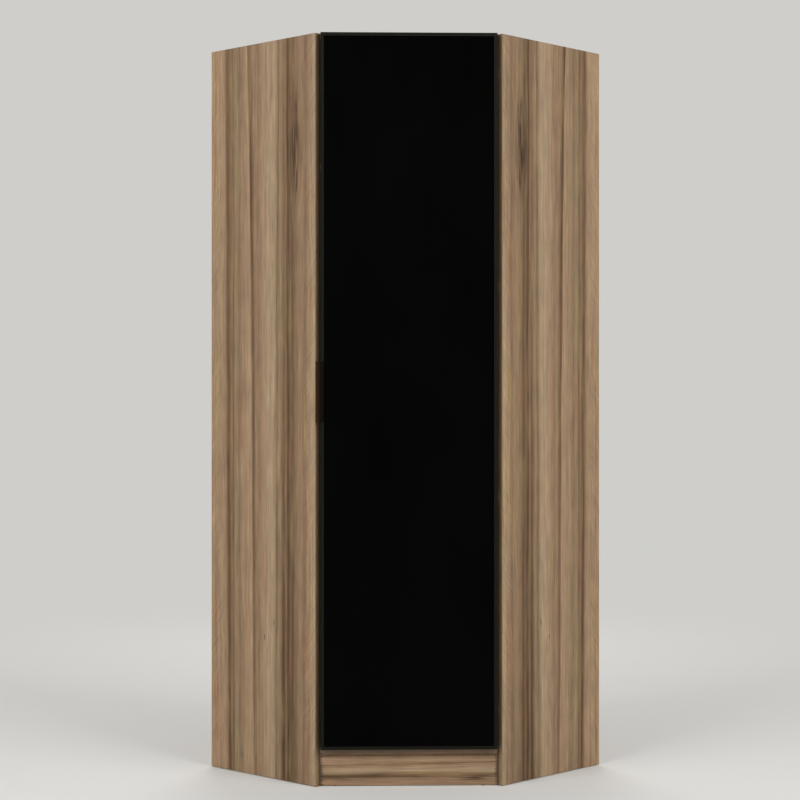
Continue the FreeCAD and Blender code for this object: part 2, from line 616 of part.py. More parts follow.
# Five-sided boards. The hat shelf has a notch for the corner post.
wall = "size.back_board"
far = "layout.inner_leg"
near = "layout.board_sum - layout.inner_leg"
notch = "size.back_board + size.post_side + size.loose_gap"
plain_outline = [(wall, wall), (far, wall), (far, near), (near, far), (wall, far)]
notched_outline = [(notch, wall)] + plain_outline[1:] + [(wall, notch), (notch, notch)]


# Holes that are laid out from the front, turned into the corner frame of a board
def in_corner_frame(holes):
    made = group(holes, "front_holes")
    spot_x = "layout.corner_y / sqrt(2)"
    return put(made, spot_x, spot_x, "0", corner_turn.inverted())


board_holes["top_panel"].append(in_corner_frame(catch_holes))
board_holes["bottom_panel"].append(in_corner_frame(bottom_holes))
board_holes["hat_shelf"].append(in_corner_frame(shelf_holes))
band_names = {
    "top_panel": "top_edge_band",
    "bottom_panel": "bottom_edge_band",
    "hat_shelf": "shelf_edge_band",
}
for board, (low, thickness) in boards.items():
    outline = notched_outline if board == "hat_shelf" else plain_outline
    core = put(padded_outline(outline, thickness, board + "_core"), "0", "0", low)
    keep_in_corner(cut(core, board_holes[board], board), board)
    band = block(about("0", "(layout.inner_half - size.fit_gap)"),
                 ("layout.carcass_front", "layout.carcass_front + size.edge_band"),
                 (low, f"{low} + {thickness}"), band_names[board])
    keep(band, band_names[board])

# Door frame: a ring round board and glass, cut into four mitred profiles
door_y = ("layout.door_front", "layout.door_back")
ring_outer = block(about("0", "layout.door_half"), door_y, ("layout.door_bottom", "layout.door_top"))
ring_inner = block(about("0", "layout.inside_half"), ("layout.glass_front", "layout.door_back"),
                   ("layout.inside_low", "layout.inside_high"))
window = block(about("0", "(layout.door_half - size.frame_face)"),
               ("layout.door_front", "layout.glass_front"),
               ("layout.door_bottom + size.frame_face", "layout.door_top - size.frame_face"))
ring = cut(ring_outer, [ring_inner, window], "frame_ring")


# A mitred length of the ring: corner is its outer rear or front corner, and the directions are those of
# the door's depth, of the way into the door and of the profile's length
def mitred(corner, depth_way, inward_way, length_way, low, high, name):
    wedge = doc.addObject("Part::Wedge", name + "_span")
    spans = {
        "Xmin": "0", "Xmax": "layout.door_depth", "X2min": "0", "X2max": "layout.door_depth",
        "Ymin": "0", "Ymax": "size.frame_face",
        "Zmin": low, "Zmax": high,
        "Z2min": f"{low} + size.frame_face", "Z2max": f"{high} - size.frame_face",
    }
    for side, formula in spans.items():
        wedge.setExpression(side, formula)
    put(wedge, *corner, Rotation(Vector(*depth_way), Vector(*inward_way), Vector(*length_way), "XYZ"))
    made = doc.addObject("Part::Common", name)
    made.Base = ring
    made.Tool = wedge
    return made


pockets = []
for level in hinge_levels:
    pockets.append(block(("layout.pocket_left", "layout.door_half"),
                         ("layout.board_front", "layout.door_back"),
                         about(level, "layout.pocket_half"), "pocket"))
door_heights = ("layout.door_bottom", "layout.door_top")
door_widths = ("-layout.door_half", "layout.door_half")
frame_left = mitred(("-layout.door_half", "layout.door_back", "0"), (0, -1, 0), (1, 0, 0), (0, 0, 1),
                    *door_heights, "left_profile")
frame_right = mitred(("layout.door_half", "layout.door_front", "0"), (0, 1, 0), (-1, 0, 0), (0, 0, 1),
                     *door_heights, "right_profile")
frame_top = mitred(("0", "layout.door_back", "layout.door_top"), (0, -1, 0), (0, 0, -1), (1, 0, 0),
                   *door_widths, "door_frame_top")
frame_bottom = mitred(("0", "layout.door_front", "layout.door_bottom"), (0, 1, 0), (0, 0, 1), (1, 0, 0),
                      *door_widths, "door_frame_bottom")
keep(cut(frame_right, pockets, "door_frame_right"), "door_frame_right")
keep(frame_top, "door_frame_top")
keep(frame_bottom, "door_frame_bottom")

# Glass, bonding tape
inset_half = "(layout.inside_half - size.loose_gap)"
inset_heights = ("layout.inside_low + size.loose_gap", "layout.inside_high - size.loose_gap")
keep(block(about("0", inset_half), ("layout.glass_front", "layout.glass_back"), inset_heights, "door_glass"),
     "door_glass")
tape_heights = ("layout.inside_low + size.tape_inset", "layout.inside_high - size.tape_inset")
tapes = []
for sign in ("-", ""):
    middle = f"{sign}(layout.door_half - size.tape_inset)"
    tapes.append(block(about(middle, "size.tape_width / 2"), ("layout.glass_back", "layout.board_front"),
                       tape_heights, "tape"))
keep(group(tapes, "glass_tape"), "glass_tape")

# Hinge cups in the door board, each with a flange on its back and two ears that hold the pin
cup_bores = []
cup_screws = []
pins = []
for count, level in enumerate(hinge_levels, start=1):
    cup_floor = ("layout.cup_x", "layout.door_back - size.cup_depth", level)
    cup_out = "size.cup_radius - size.fit_gap"
    cup_in = "size.cup_radius - size.cup_wall"
    shell = rod(cup_floor, "+y", "size.cup_depth", cup_out, "shell")
    flange = block(("layout.cup_x - size.cup_radius - size.flange_rim", "layout.pocket_left"),
                   ("layout.door_back", "layout.door_back + size.flange_metal"),
                   about(level, "size.flange_span / 2"), "flange")
    hollow = rod((cup_floor[0], "layout.door_back - size.cup_depth + size.cup_wall", level), "+y",
                 "size.cup_depth - size.cup_wall + size.flange_metal", cup_in, "hollow")
    cup_bores.append(rod((cup_floor[0], f"{cup_floor[1]} - size.tip_gap", level), "+y",
                         "size.cup_depth + size.tip_gap", "size.cup_radius", "cup_bore"))
    plates = []
    for ear_low, ear_high in ((f"{level} + layout.ear_inner", f"{level} + layout.ear_outer"),
                              (f"{level} - layout.ear_outer", f"{level} - layout.ear_inner")):
        ear_z = (ear_low, ear_high)
        plates.append(block(("layout.pocket_left + size.fit_gap", "layout.pin_x + size.ear_round"),
                            ("layout.pin_y", "layout.door_back + size.flange_metal"), ear_z, "ear"))
        plates.append(block(("layout.pocket_left", "layout.pin_x"),
                            ("layout.door_back", "layout.door_back + size.flange_metal"), ear_z, "ear_root"))
        plates.append(rod(("layout.pin_x", "layout.pin_y", ear_low), "+z", "size.ear_metal",
                          "size.ear_round", "ear_end"))
    pin_end = ("layout.pin_x", "layout.pin_y", f"{level} - layout.ear_outer")
    pin_hole = rod(pin_end, "+z", "2 * layout.ear_outer", "size.pin_radius + size.pin_gap", "pin_hole")
    pins.append(rod(pin_end, "+z", "2 * layout.ear_outer", "size.pin_radius", "pin"))
    cup_holes = []
    for sign in ("+", "-"):
        point = ("layout.cup_x", "layout.door_back + size.flange_metal",
                 f"{level} {sign} size.cup_screw_place")
        cup_holes.append(screw_hole(point, "-y", "size.short_screw"))
        cup_screws.append(screw(point, "-y", "size.short_screw"))
    cup_bores += cup_holes
    solid = cut(joined([shell, flange]), [hollow])
    keep(cut(joined([solid] + plates), cup_holes + [pin_hole], f"hinge_cup_{count}"),
         f"hinge_cup_{count}")
keep(group(pins, "hinge_pins"), "hinge_pins")
keep(group(cup_screws, "hinge_cup_screws"), "hinge_cup_screws")

# Edge pull on the left edge of the door, screwed through the frame into the board's edge
back_edge = "size.handle_overhang"
handle_outline = [
    ("0", "0"),
    ("size.handle_overhang + size.handle_cover", "0"),
    ("size.handle_overhang + size.handle_cover", "size.handle_front"),
    (back_edge, "size.handle_front"),
    (back_edge, "size.handle_front + size.handle_return"),
    (f"{back_edge} - size.handle_wall", "size.handle_front + size.handle_return"),
    (f"{back_edge} - size.handle_wall", "size.handle_front"),
    ("0", "size.handle_front"),
]
handle_body = padded_outline(handle_outline, "size.handle_length", "handle")
handle_pad = handle_body.Tip
front_limit = float(layout.evalExpression("size.handle_front / 2"))
front_edges = [f"Edge{number}" for number, edge in enumerate(handle_pad.Shape.Edges, start=1)
               if edge.BoundBox.YMax < front_limit]
rounding = handle_body.newObject("PartDesign::Fillet", "handle_rounding")
rounding.Base = (handle_pad, front_edges)
rounding.setExpression("Radius", "size.handle_round")
put(handle_body, "-layout.door_half - size.handle_overhang", "layout.door_front - size.handle_front",
    "layout.handle_low")
handle_holes = []
handle_screws = []
for sign in ("+", "-"):
    point = ("-layout.door_half - size.handle_wall", "layout.board_front + size.handle_screw_inset",
             f"size.handle_level {sign} size.handle_screw_place")
    handle_holes.append(screw_hole(point, "+x", "size.long_screw"))
    handle_screws.append(screw(point, "+x", "size.long_screw"))
keep(cut(handle_body, handle_holes, "door_handle"), "door_handle")
keep(group(handle_screws, "handle_screws"), "handle_screws")
keep(cut(frame_left, handle_holes, "door_frame_left"), "door_frame_left")

# Catch plate and bumpers on the back of the door
catch_plate_y = ("layout.door_back", "layout.door_back + size.catch_plate_metal")
catch_level = "layout.top_low - size.catch_height / 2"
plate_screw = (catch_middle, "layout.door_back + size.catch_plate_metal - size.screw_head", catch_level)
plate_holes = [screw_hole(plate_screw, "-y", "size.short_screw"), head_hole(plate_screw, "-y")]
plate = block(about(catch_middle, "size.catch_plate_length / 2"), catch_plate_y,
              about(catch_level, "size.catch_plate_height / 2"))
keep(cut(plate, plate_holes, "catch_plate"), "catch_plate")
keep(group([screw(plate_screw, "-y", "size.short_screw")], "catch_plate_screw"), "catch_plate_screw")
bumpers = []
for level in ("layout.top_low + size.top_board / 2", "layout.shelf_low + size.shelf_board / 2"):
    spot = ("-(layout.door_half - size.bumper_inset)", "layout.door_back", level)
    bumpers.append(rod(spot, "+y", "size.door_gap - size.bumper_gap", "size.bumper_radius", "bumper"))
keep(group(bumpers, "door_bumpers"), "door_bumpers")

# Door board, behind the glass
door_core = block(about("0", inset_half), ("layout.board_front", "layout.door_back"), inset_heights)
keep(cut(door_core, pockets + cup_bores + handle_holes + plate_holes, "door_board"), "door_board")

doc.recompute()
for made in doc.Objects:
    if "Invalid" in made.State or "Error" in made.State:
        raise RuntimeError(f"{made.Label} was not built: {made.State}")
for name, made in nodes.items():
    if made.Shape.isNull() or not made.Shape.isValid():
        raise RuntimeError(f"{name} has no valid shape")
os.makedirs("parts", exist_ok=True)
for name, made in nodes.items():
    made.Shape.exportStep(f"parts/{name}.step")
print(len(nodes), "pieces written")
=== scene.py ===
import math

import bmesh
import bpy
import numpy as np
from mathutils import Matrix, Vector


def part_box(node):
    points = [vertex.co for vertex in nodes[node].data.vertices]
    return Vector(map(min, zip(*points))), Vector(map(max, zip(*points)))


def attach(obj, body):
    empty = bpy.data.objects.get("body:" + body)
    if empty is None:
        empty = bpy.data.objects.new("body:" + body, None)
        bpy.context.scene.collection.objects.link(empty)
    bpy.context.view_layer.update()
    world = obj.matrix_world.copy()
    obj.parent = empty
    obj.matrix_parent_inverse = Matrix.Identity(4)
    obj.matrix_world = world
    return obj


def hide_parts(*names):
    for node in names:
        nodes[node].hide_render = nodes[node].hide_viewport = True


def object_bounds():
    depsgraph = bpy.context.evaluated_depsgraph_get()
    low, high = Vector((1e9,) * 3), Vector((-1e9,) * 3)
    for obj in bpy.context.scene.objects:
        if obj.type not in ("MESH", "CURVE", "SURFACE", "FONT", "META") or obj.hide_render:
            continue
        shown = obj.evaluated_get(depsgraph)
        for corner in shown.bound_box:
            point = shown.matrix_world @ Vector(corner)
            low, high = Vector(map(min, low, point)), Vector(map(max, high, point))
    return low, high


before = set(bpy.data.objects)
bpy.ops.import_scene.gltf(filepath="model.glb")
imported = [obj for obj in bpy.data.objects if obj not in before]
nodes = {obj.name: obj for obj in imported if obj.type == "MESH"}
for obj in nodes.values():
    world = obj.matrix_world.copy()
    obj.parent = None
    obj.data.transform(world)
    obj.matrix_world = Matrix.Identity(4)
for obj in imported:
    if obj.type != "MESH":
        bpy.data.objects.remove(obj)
cadLow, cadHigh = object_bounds()
scene = bpy.context.scene
scene.view_settings.view_transform = "Standard"
mm = 0.001
noiseRange = (0.25, 0.75)        # nearly all of a noise lies in here
noiseMiddle = (0.3, 0.7)         # and most of it in here
print("wardrobe loaded:", len(nodes), "pieces")


# sRGB hex to the linear colour that a shader takes
def linear(hexColour):
    channels = [int(hexColour[i:i + 2], 16) / 255 for i in (1, 3, 5)]
    return [c / 12.92 if c <= 0.04045 else ((c + 0.055) / 1.055) ** 2.4 for c in channels] + [1]


# A node with its settings; an input takes a number, a colour, a socket or a node's first output
def addNode(tree, kind, inputs=None, stops=(), **settings):
    node = tree.nodes.new(kind)
    for name, value in settings.items():
        setattr(node, name, value)
    for key, value in (inputs or {}).items():
        if isinstance(value, bpy.types.Node):
            value = next(s for s in value.outputs if s.enabled)
        if isinstance(value, bpy.types.NodeSocket):
            tree.links.new(value, node.inputs[key])
        else:
            node.inputs[key].default_value = value
    for i, (place, colour) in enumerate(stops):
        element = node.color_ramp.elements[i] if i < 2 else node.color_ramp.elements.new(place)
        element.position, element.color = place, colour
    return node


def newFinish(name):
    finish = bpy.data.materials.new(name)
    finish.use_nodes = True
    finish.node_tree.nodes.clear()
    return finish, finish.node_tree


def dress(finish, *names):
    for name in names:
        mesh = nodes[name].data
        mesh.materials.clear()
        mesh.materials.append(finish)


# How often a pattern comes in a metre along x, y and z, from its size in mm
def perMetre(size):
    return [1 / (side * mm) for side in size]


# Colours spread evenly over the middle of a noise
def spreadColours(colours):
    low, high = noiseMiddle
    return [(low + (high - low) * i / (len(colours) - 1), linear(c)) for i, c in enumerate(colours)]


# How far a spot lies from the middle of an oval in mm: 0 in its middle, 1 on its rim
def ovalReach(tree, spot, across, up, halfWidth, halfHeight):
    offset = addNode(tree, "ShaderNodeVectorMath", {
        0: spot, 1: (across * mm, 0, up * mm)}, operation="SUBTRACT")
    shrunk = addNode(tree, "ShaderNodeVectorMath", {
        0: offset, 1: (1 / (halfWidth * mm), 0, 1 / (halfHeight * mm))}, operation="MULTIPLY")
    return addNode(tree, "ShaderNodeVectorMath", {0: shrunk}, operation="LENGTH").outputs["Value"]


edgeWearAndHighlight = {
    "flat": 0.995, "sharp": 0.80,        # cosine of the turn at an edge left plain, and at one fully rubbed and highlit
    "patch": 45,                         # mm
    "patchFrom": 0.35, "patchTo": 0.65, "least": 0.3, "samples": 4,
}


# How much an edge is rubbed and carries a painted highlight: 0 on the flat, up to 1 on the sharp edges within
# reach, in uneven patches
def wornAndHighlitEdges(tree, reach, coords):
    flat = addNode(tree, "ShaderNodeNewGeometry").outputs["Normal"]
    rounded = addNode(tree, "ShaderNodeBevel", {"Radius": reach * mm}, samples=edgeWearAndHighlight["samples"])
    alike = addNode(tree, "ShaderNodeVectorMath", {0: rounded, 1: flat}, operation="DOT_PRODUCT")
    sharp = addNode(tree, "ShaderNodeMapRange", {
        0: alike.outputs["Value"], 1: edgeWearAndHighlight["flat"], 2: edgeWearAndHighlight["sharp"], 3: 0, 4: 1})
    patches = addNode(tree, "ShaderNodeTexNoise", {
        "Vector": coords, "Scale": 1 / (edgeWearAndHighlight["patch"] * mm), "Detail": 2})
    uneven = addNode(tree, "ShaderNodeMapRange", {
        0: patches, 1: edgeWearAndHighlight["patchFrom"], 2: edgeWearAndHighlight["patchTo"], 3: edgeWearAndHighlight["least"], 4: 1})
    return addNode(tree, "ShaderNodeMath", {0: sharp, 1: uneven}, operation="MULTIPLY")


# Camera at the photograph's place, level, at about half the wardrobe's height
view = {
    "place": (-0.160, -5.768, 1.0675),
    "turn": -1.45,      # degrees, to the right
    "lens": 87.08,
    "sensor": 36,
}
cameraData = bpy.data.cameras.new("photoCamera")
cameraData.lens, cameraData.sensor_width = view["lens"], view["sensor"]
camera = bpy.data.objects.new("photoCamera", cameraData)
camera.location = view["place"]
camera.rotation_euler = (math.radians(90), 0, math.radians(view["turn"]))
scene.collection.objects.link(camera)
scene.camera = camera
print("camera set")


# Walnut figure of the side panels, measured in mm from the wall and from the floor
tones = {
    "pale": "#a99276", "light": "#a3886c", "fair": "#9c8167", "mid": "#947a60", "dull": "#876e54",
    "dark": "#755f48", "deep": "#583f29", "russet": "#9d7353", "straw": "#a68b5c", "smoke": "#412d1f",
    "rosy": "#90745b", "sage": "#927c61", "ecru": "#a08b70", "ashen": "#84705d",
}
panelFigure = {
    "repeat": 435,
    "low": 0, "high": 2080,
    "bands": [
        (0, "light"), (44, "light"), (53, "fair"), (63, "dull"), (92, "dull"), (104, "sage"), (118, "sage"),
        (132, "fair"), (150, "light"), (162, "light"), (176, "mid"), (208, "mid"), (222, "light"),
        (244, "pale"), (268, "pale"), (282, "sage"), (296, "sage"), (314, "dull"), (323, "dark"),
        (342, "dark"), (358, "dull"), (371, "mid"), (398, "mid"), (412, "light"), (424, "pale"),
        (435, "pale"),
    ],
    # how far the figure has moved towards the front by the time it reaches the floor
    "lean": [
        (0, 0), (40, 4), (62, 11), (82, 15), (100, 3), (120, 2), (140, 18), (160, 22), (180, 22), (200, 14),
        (220, 4), (236, 3), (258, -8), (282, -8), (305, 0), (325, 3), (345, 4), (365, 0), (392, -9), (410, 3),
        (435, 0),
    ],
    # place, bend near the top, towards the wall, towards the front, strength at the floor and at the top
    "veins": [
        (66, 0, 8, 18, 1.00, 0.56), (91, 0, 7, 7, 0.24, 0.42), (94, 0, 5, 5, 0.55, 0.00),
        (119, 0, 9, 9, 0.25, 0.28), (136, 0, 6, 6, 0.15, 0.15), (166, -9, 7, 20, 0.58, 1.06),
        (197, 0, 6, 7, 0.30, 0.10), (233, 0, 4, 5, 0.18, 0.14), (256, 0, 4, 5, 0.10, 0.10),
        (285, 0, 8, 8, 0.42, 0.50), (307, 0, 12, 11, 1.12, 0.18), (323, 0, 7, 11, 1.08, 1.00),
        (341, 0, 8, 11, 0.88, 0.20), (396, 0, 11, 10, 0.34, 0.30), (411, 0, 5, 6, 0.14, 0.00),
        (17, 0, 8, 7, 0.14, 0.16), (37, 0, 4, 5, 0.10, 0.06),
    ],
    # across, up, half width, half height, strength
    "knots": [
        (352, 1785, 40, 200, 0.46), (356, 1888, 9, 36, 0.55), (357, 1812, 11, 48, 0.78),
        (351, 1742, 11, 64, 0.85), (360, 1680, 10, 44, 0.60), (226, 396, 5, 12, 0.70),
        (272, 439, 4, 14, 0.65),
    ],
    "bulge": (354, 1785, 50, 250, 0.38),
    # paler and darker clouds: across, up, half width, half height, gain
    "clouds": [
        (15, 2080, 60, 1300, 0.10), (425, 1950, 70, 650, -0.12), (425, 950, 45, 520, 0.07),
        (400, 60, 60, 330, -0.14), (325, 60, 60, 520, -0.16), (130, 2050, 30, 330, -0.08),
        (85, 60, 26, 420, -0.08), (135, 500, 36, 900, 0.09), (350, 60, 36, 560, -0.09),
        (217, 1060, 320, 620, 0.04),
    ],
    "ripples": [(54, 34), (382, 406)],   # from no ripples to full ripples
    "wander": 3,
}
# the plinth's figure lies on its side: across is up from the floor, and up is along the plinth
plinthFigure = {
    "repeat": 120,
    "low": -245, "high": 245,
    "bands": [
        (0, "mid"), (6, "rosy"), (17, "rosy"), (25, "dark"), (30, "dark"), (35, "dull"), (42, "ecru"),
        (49, "fair"), (58, "dull"), (67, "fair"), (77, "mid"), (86, "dull"), (92, "ashen"), (120, "ashen"),
    ],
    "lean": [(0, 0), (34, 0), (44, 1), (51, 4), (57, 8), (66, 8), (80, 0), (120, 0)],
    # the first vein, dark across the seam at 85 mm where the plinth meets the bottom board, is painted shade
    # for the shadow line under the board's edge
    "veins": [
        (86, 0, 6, 4, 1.10, 1.20), (57, 0, 3, 3, 0.95, 0.40), (26, 0, 5, 7, 0.35, 0.95),
        (31, 0, 4, 4, 0.10, 0.50), (16, 0, 2, 3, 0.35, 0.15), (51, 0, 2, 3, 0.15, 0.25),
    ],
    # the right end's knot in two layers, the left end's, then painted shade where each end meets a side
    # panel, standing in for the shadow gap there
    "knots": [(21, -180, 11, 70, 0.50), (21, -184, 7, 42, 0.85), (25, 215, 10, 90, 0.55),
              (40, -245, 90, 10, 0.85), (40, 245, 90, 10, 0.85)],
    "bulge": (21, -180, 14, 70, 0.40),
    "clouds": [(50, -100, 20, 160, -0.05), (8, 120, 12, 200, 0.05), (10, -190, 20, 120, -0.16),
               (76, -200, 20, 110, -0.16)],
    "ripples": [(100, 120)],
    "wander": 2,
}
grain = {
    "streak": (6.5, 60, 260),    # mm across, through and along the grain
    "fine": (3, 40, 95),
    "hue": (16, 90, 260),
    "mottle": (26, 60, 70),
    "drift": (150, 300, 700),
    "pore": (2.4, 20, 34),       # real pores are 0.2 mm wide; drawn this coarse so that they show
    "ripple": (44, 60, 12),
    "rippleSlant": -1.6,         # how steeply the ripples cross the grain
    "leanMost": 50,              # mm
    "bendPower": 8,              # a vein bends only near the top
    # how much paler or darker each pattern makes the wood, as a share of its light
    "streakLight": 0.16, "fineLight": 0.20, "mottleLight": 0.11, "rippleLight": 0.12,
    "poreFrom": 0.28, "poreTo": 0.42, "poreLight": 0.88,
    "veinUneven": (0.72, 1.22),
    # tone, where in the noise its streaks begin and are full, and its share there
    "tints": [("russet", 0.50, 0.75, 0.38), ("straw", 0.48, 0.25, 0.36)],
    "tintRippled": 0.8,          # how much stronger the tints are in the rippled wood
    "knotLine": 7,               # mm between the dark lines that flow round a knot
    "knotSwerve": 9, "knotLineDark": 0.45, "knotLineFull": 0.25, "knotLineEnd": 0.95, "knotRagged": 0.5,
}


# Wood figure as one group: broad bands, drifting veins, knots, streaks and pores
def buildFigure(name, figure):
    group = bpy.data.node_groups.new(name, "ShaderNodeTree")
    group.interface.new_socket("Place", in_out="INPUT", socket_type="NodeSocketVector")
    group.interface.new_socket("Colour", in_out="OUTPUT", socket_type="NodeSocketColor")
    group.interface.new_socket("Height", in_out="OUTPUT", socket_type="NodeSocketFloat")
    whole = addNode(group, "NodeGroupInput").outputs["Place"]
    parts = addNode(group, "ShaderNodeSeparateXYZ", {0: whole})
    up = parts.outputs["Z"]
    width = figure["repeat"] * mm
    folded = addNode(group, "ShaderNodeMath", {0: parts.outputs["X"], 1: width}, operation="PINGPONG")

    # the figure drifts a few mm from side to side on its way up
    stretched = addNode(group, "ShaderNodeVectorMath", {
        0: whole, 1: perMetre(grain["drift"])}, operation="MULTIPLY")
    drift = addNode(group, "ShaderNodeTexNoise", {"Vector": stretched, "Scale": 1, "Detail": 3})
    wander = addNode(group, "ShaderNodeMapRange", {
        0: drift, 1: noiseRange[0], 2: noiseRange[1], 3: -figure["wander"] * mm, 4: figure["wander"] * mm})
    drifted = addNode(group, "ShaderNodeMath", {0: folded, 1: wander}, operation="ADD")

    # and leans more, the nearer it comes to its low end
    most = grain["leanMost"]
    rise = addNode(group, "ShaderNodeMapRange", {0: up, 1: figure["low"] * mm, 2: figure["high"] * mm})
    share = addNode(group, "ShaderNodeMath", {0: drifted, 1: width}, operation="DIVIDE")
    lean = addNode(group, "ShaderNodeValToRGB", {0: share}, stops=[
        (place / figure["repeat"], [0.5 + shift / (2 * most)] * 3 + [1]) for place, shift in figure["lean"]])
    leaning = addNode(group, "ShaderNodeMapRange", {0: lean, 1: 0, 2: 1, 3: most * mm, 4: -most * mm})
    lowered = addNode(group, "ShaderNodeMath", {0: 1, 1: rise}, operation="SUBTRACT")
    drifted = addNode(group, "ShaderNodeMath", {
        0: leaning, 1: lowered, 2: drifted}, operation="MULTIPLY_ADD")

    # lines open out round the big knot
    spot = addNode(group, "ShaderNodeCombineXYZ", {0: drifted, 2: up})
    knotAcross, knotUp, spread, reach, opening = figure["bulge"]
    near = ovalReach(group, spot, knotAcross, knotUp, spread, reach)
    squeeze = addNode(group, "ShaderNodeMapRange", {
        0: near, 1: 0, 2: 1, 3: 1 - opening, 4: 1}, interpolation_type="SMOOTHSTEP")
    away = addNode(group, "ShaderNodeMath", {0: drifted, 1: knotAcross * mm}, operation="SUBTRACT")
    across = addNode(group, "ShaderNodeMath", {
        0: away, 1: squeeze, 2: knotAcross * mm}, operation="MULTIPLY_ADD")
    bent = addNode(group, "ShaderNodeCombineXYZ", {0: across, 1: parts.outputs["Y"], 2: up})
    slant = addNode(group, "ShaderNodeMath", {
        0: across, 1: grain["rippleSlant"], 2: up}, operation="MULTIPLY_ADD")
    slanted = addNode(group, "ShaderNodeCombineXYZ", {0: across, 2: slant})
    sources = {"streak": bent, "fine": bent, "hue": bent, "mottle": bent, "pore": bent, "ripple": slanted}
    noises = {}
    for key, source in sources.items():
        stretched = addNode(group, "ShaderNodeVectorMath", {
            0: source, 1: perMetre(grain[key])}, operation="MULTIPLY")
        noises[key] = addNode(group, "ShaderNodeTexNoise", {"Vector": stretched, "Scale": 1, "Detail": 3})

    share = addNode(group, "ShaderNodeMath", {0: across, 1: width}, operation="DIVIDE")
    ramp = addNode(group, "ShaderNodeValToRGB", {0: share}, stops=[
        (place / figure["repeat"], linear(tones[tone])) for place, tone in figure["bands"]])

    # veins: sharp towards the wall, soft towards the front
    hook = addNode(group, "ShaderNodeMath", {0: rise, 1: grain["bendPower"]}, operation="POWER")
    dark = None
    for place, bend, sharp, soft, strongBottom, strongTop in figure["veins"]:
        line = addNode(group, "ShaderNodeMath", {
            0: hook, 1: bend * mm, 2: place * mm}, operation="MULTIPLY_ADD")
        side = addNode(group, "ShaderNodeMath", {0: across, 1: line}, operation="SUBTRACT")
        before = addNode(group, "ShaderNodeMapRange", {
            0: side, 1: -sharp * mm, 2: 0}, interpolation_type="SMOOTHSTEP")
        after = addNode(group, "ShaderNodeMapRange", {
            0: side, 1: 0, 2: soft * mm, 3: 1, 4: 0}, interpolation_type="SMOOTHSTEP")
        body = addNode(group, "ShaderNodeMath", {0: before, 1: after}, operation="MULTIPLY")
        strength = addNode(group, "ShaderNodeMath", {
            0: rise, 1: strongTop - strongBottom, 2: strongBottom}, operation="MULTIPLY_ADD")
        vein = addNode(group, "ShaderNodeMath", {0: body, 1: strength}, operation="MULTIPLY")
        dark = vein if dark is None else addNode(group, "ShaderNodeMath", {0: dark, 1: vein}, operation="ADD")
    weakest, strongest = grain["veinUneven"]
    uneven = addNode(group, "ShaderNodeMapRange", {
        0: noises["hue"], 1: noiseMiddle[0], 2: noiseMiddle[1], 3: weakest, 4: strongest})
    dark = addNode(group, "ShaderNodeMath", {0: dark, 1: uneven}, operation="MULTIPLY", use_clamp=True)
    colour = addNode(group, "ShaderNodeMix", {0: dark, 6: ramp, 7: linear(tones["deep"])}, data_type="RGBA")

    # reddish and straw-coloured streaks, strongest in the rippled wood near the long edges
    zone = None
    for none, full in figure["ripples"]:
        part = addNode(group, "ShaderNodeMapRange", {0: across, 1: none * mm, 2: full * mm})
        zone = part if zone is None else addNode(group, "ShaderNodeMath", {0: zone, 1: part}, operation="ADD")
    vivid = addNode(group, "ShaderNodeMath", {
        0: zone, 1: grain["tintRippled"], 2: 1}, operation="MULTIPLY_ADD")
    for tone, start, end, amount in grain["tints"]:
        tint = addNode(group, "ShaderNodeMapRange", {0: noises["hue"], 1: start, 2: end, 3: 0, 4: amount})
        tint = addNode(group, "ShaderNodeMath", {0: tint, 1: vivid}, operation="MULTIPLY", use_clamp=True)
        colour = addNode(group, "ShaderNodeMix", {
            0: tint, 6: colour, 7: linear(tones[tone])}, data_type="RGBA")

    # knots are dark, ragged spindles with dark lines flowing round the big one
    flow = addNode(group, "ShaderNodeMath", {
        0: across, 1: math.tau / (grain["knotLine"] * mm)}, operation="MULTIPLY")
    swerve = addNode(group, "ShaderNodeMath", {
        0: noises["hue"], 1: grain["knotSwerve"], 2: flow}, operation="MULTIPLY_ADD")
    wave = addNode(group, "ShaderNodeMath", {0: swerve}, operation="SINE")
    lines = addNode(group, "ShaderNodeMapRange", {0: wave, 1: 0, 2: 1, 3: 0, 4: grain["knotLineDark"]})
    closeBy = addNode(group, "ShaderNodeMapRange", {
        0: near, 1: grain["knotLineFull"], 2: grain["knotLineEnd"], 3: 1, 4: 0},
        interpolation_type="SMOOTHSTEP")
    flowing = addNode(group, "ShaderNodeMath", {0: lines, 1: closeBy}, operation="MULTIPLY")
    colour = addNode(group, "ShaderNodeMix", {
        0: flowing, 6: colour, 7: linear(tones["deep"])}, data_type="RGBA")
    ragged = addNode(group, "ShaderNodeMapRange", {
        0: noises["fine"], 1: noiseMiddle[0], 2: noiseMiddle[1],
        3: -grain["knotRagged"], 4: grain["knotRagged"]})
    for *oval, strength in figure["knots"]:
        reached = ovalReach(group, spot, *oval)
        edge = addNode(group, "ShaderNodeMath", {0: reached, 1: ragged}, operation="ADD")
        knot = addNode(group, "ShaderNodeMapRange", {
            0: edge, 1: 0, 2: 1, 3: strength, 4: 0}, interpolation_type="SMOOTHSTEP")
        colour = addNode(group, "ShaderNodeMix", {
            0: knot, 6: colour, 7: linear(tones["smoke"])}, data_type="RGBA")

    # soft clouds of paler and darker wood
    cloudy = None
    for *oval, gain in figure["clouds"]:
        reached = ovalReach(group, spot, *oval)
        cloud = addNode(group, "ShaderNodeMapRange", {
            0: reached, 1: 0, 2: 1, 3: gain, 4: 0}, interpolation_type="SMOOTHSTEP")
        cloudy = cloud if cloudy is None else addNode(
            group, "ShaderNodeMath", {0: cloudy, 1: cloud}, operation="ADD")

    # short ripples across the grain near the long edges
    ripple = addNode(group, "ShaderNodeMapRange", {
        0: noises["ripple"], 1: noiseMiddle[0], 2: noiseMiddle[1],
        3: -grain["rippleLight"], 4: grain["rippleLight"]})
    ripples = addNode(group, "ShaderNodeMath", {0: ripple, 1: zone}, operation="MULTIPLY")

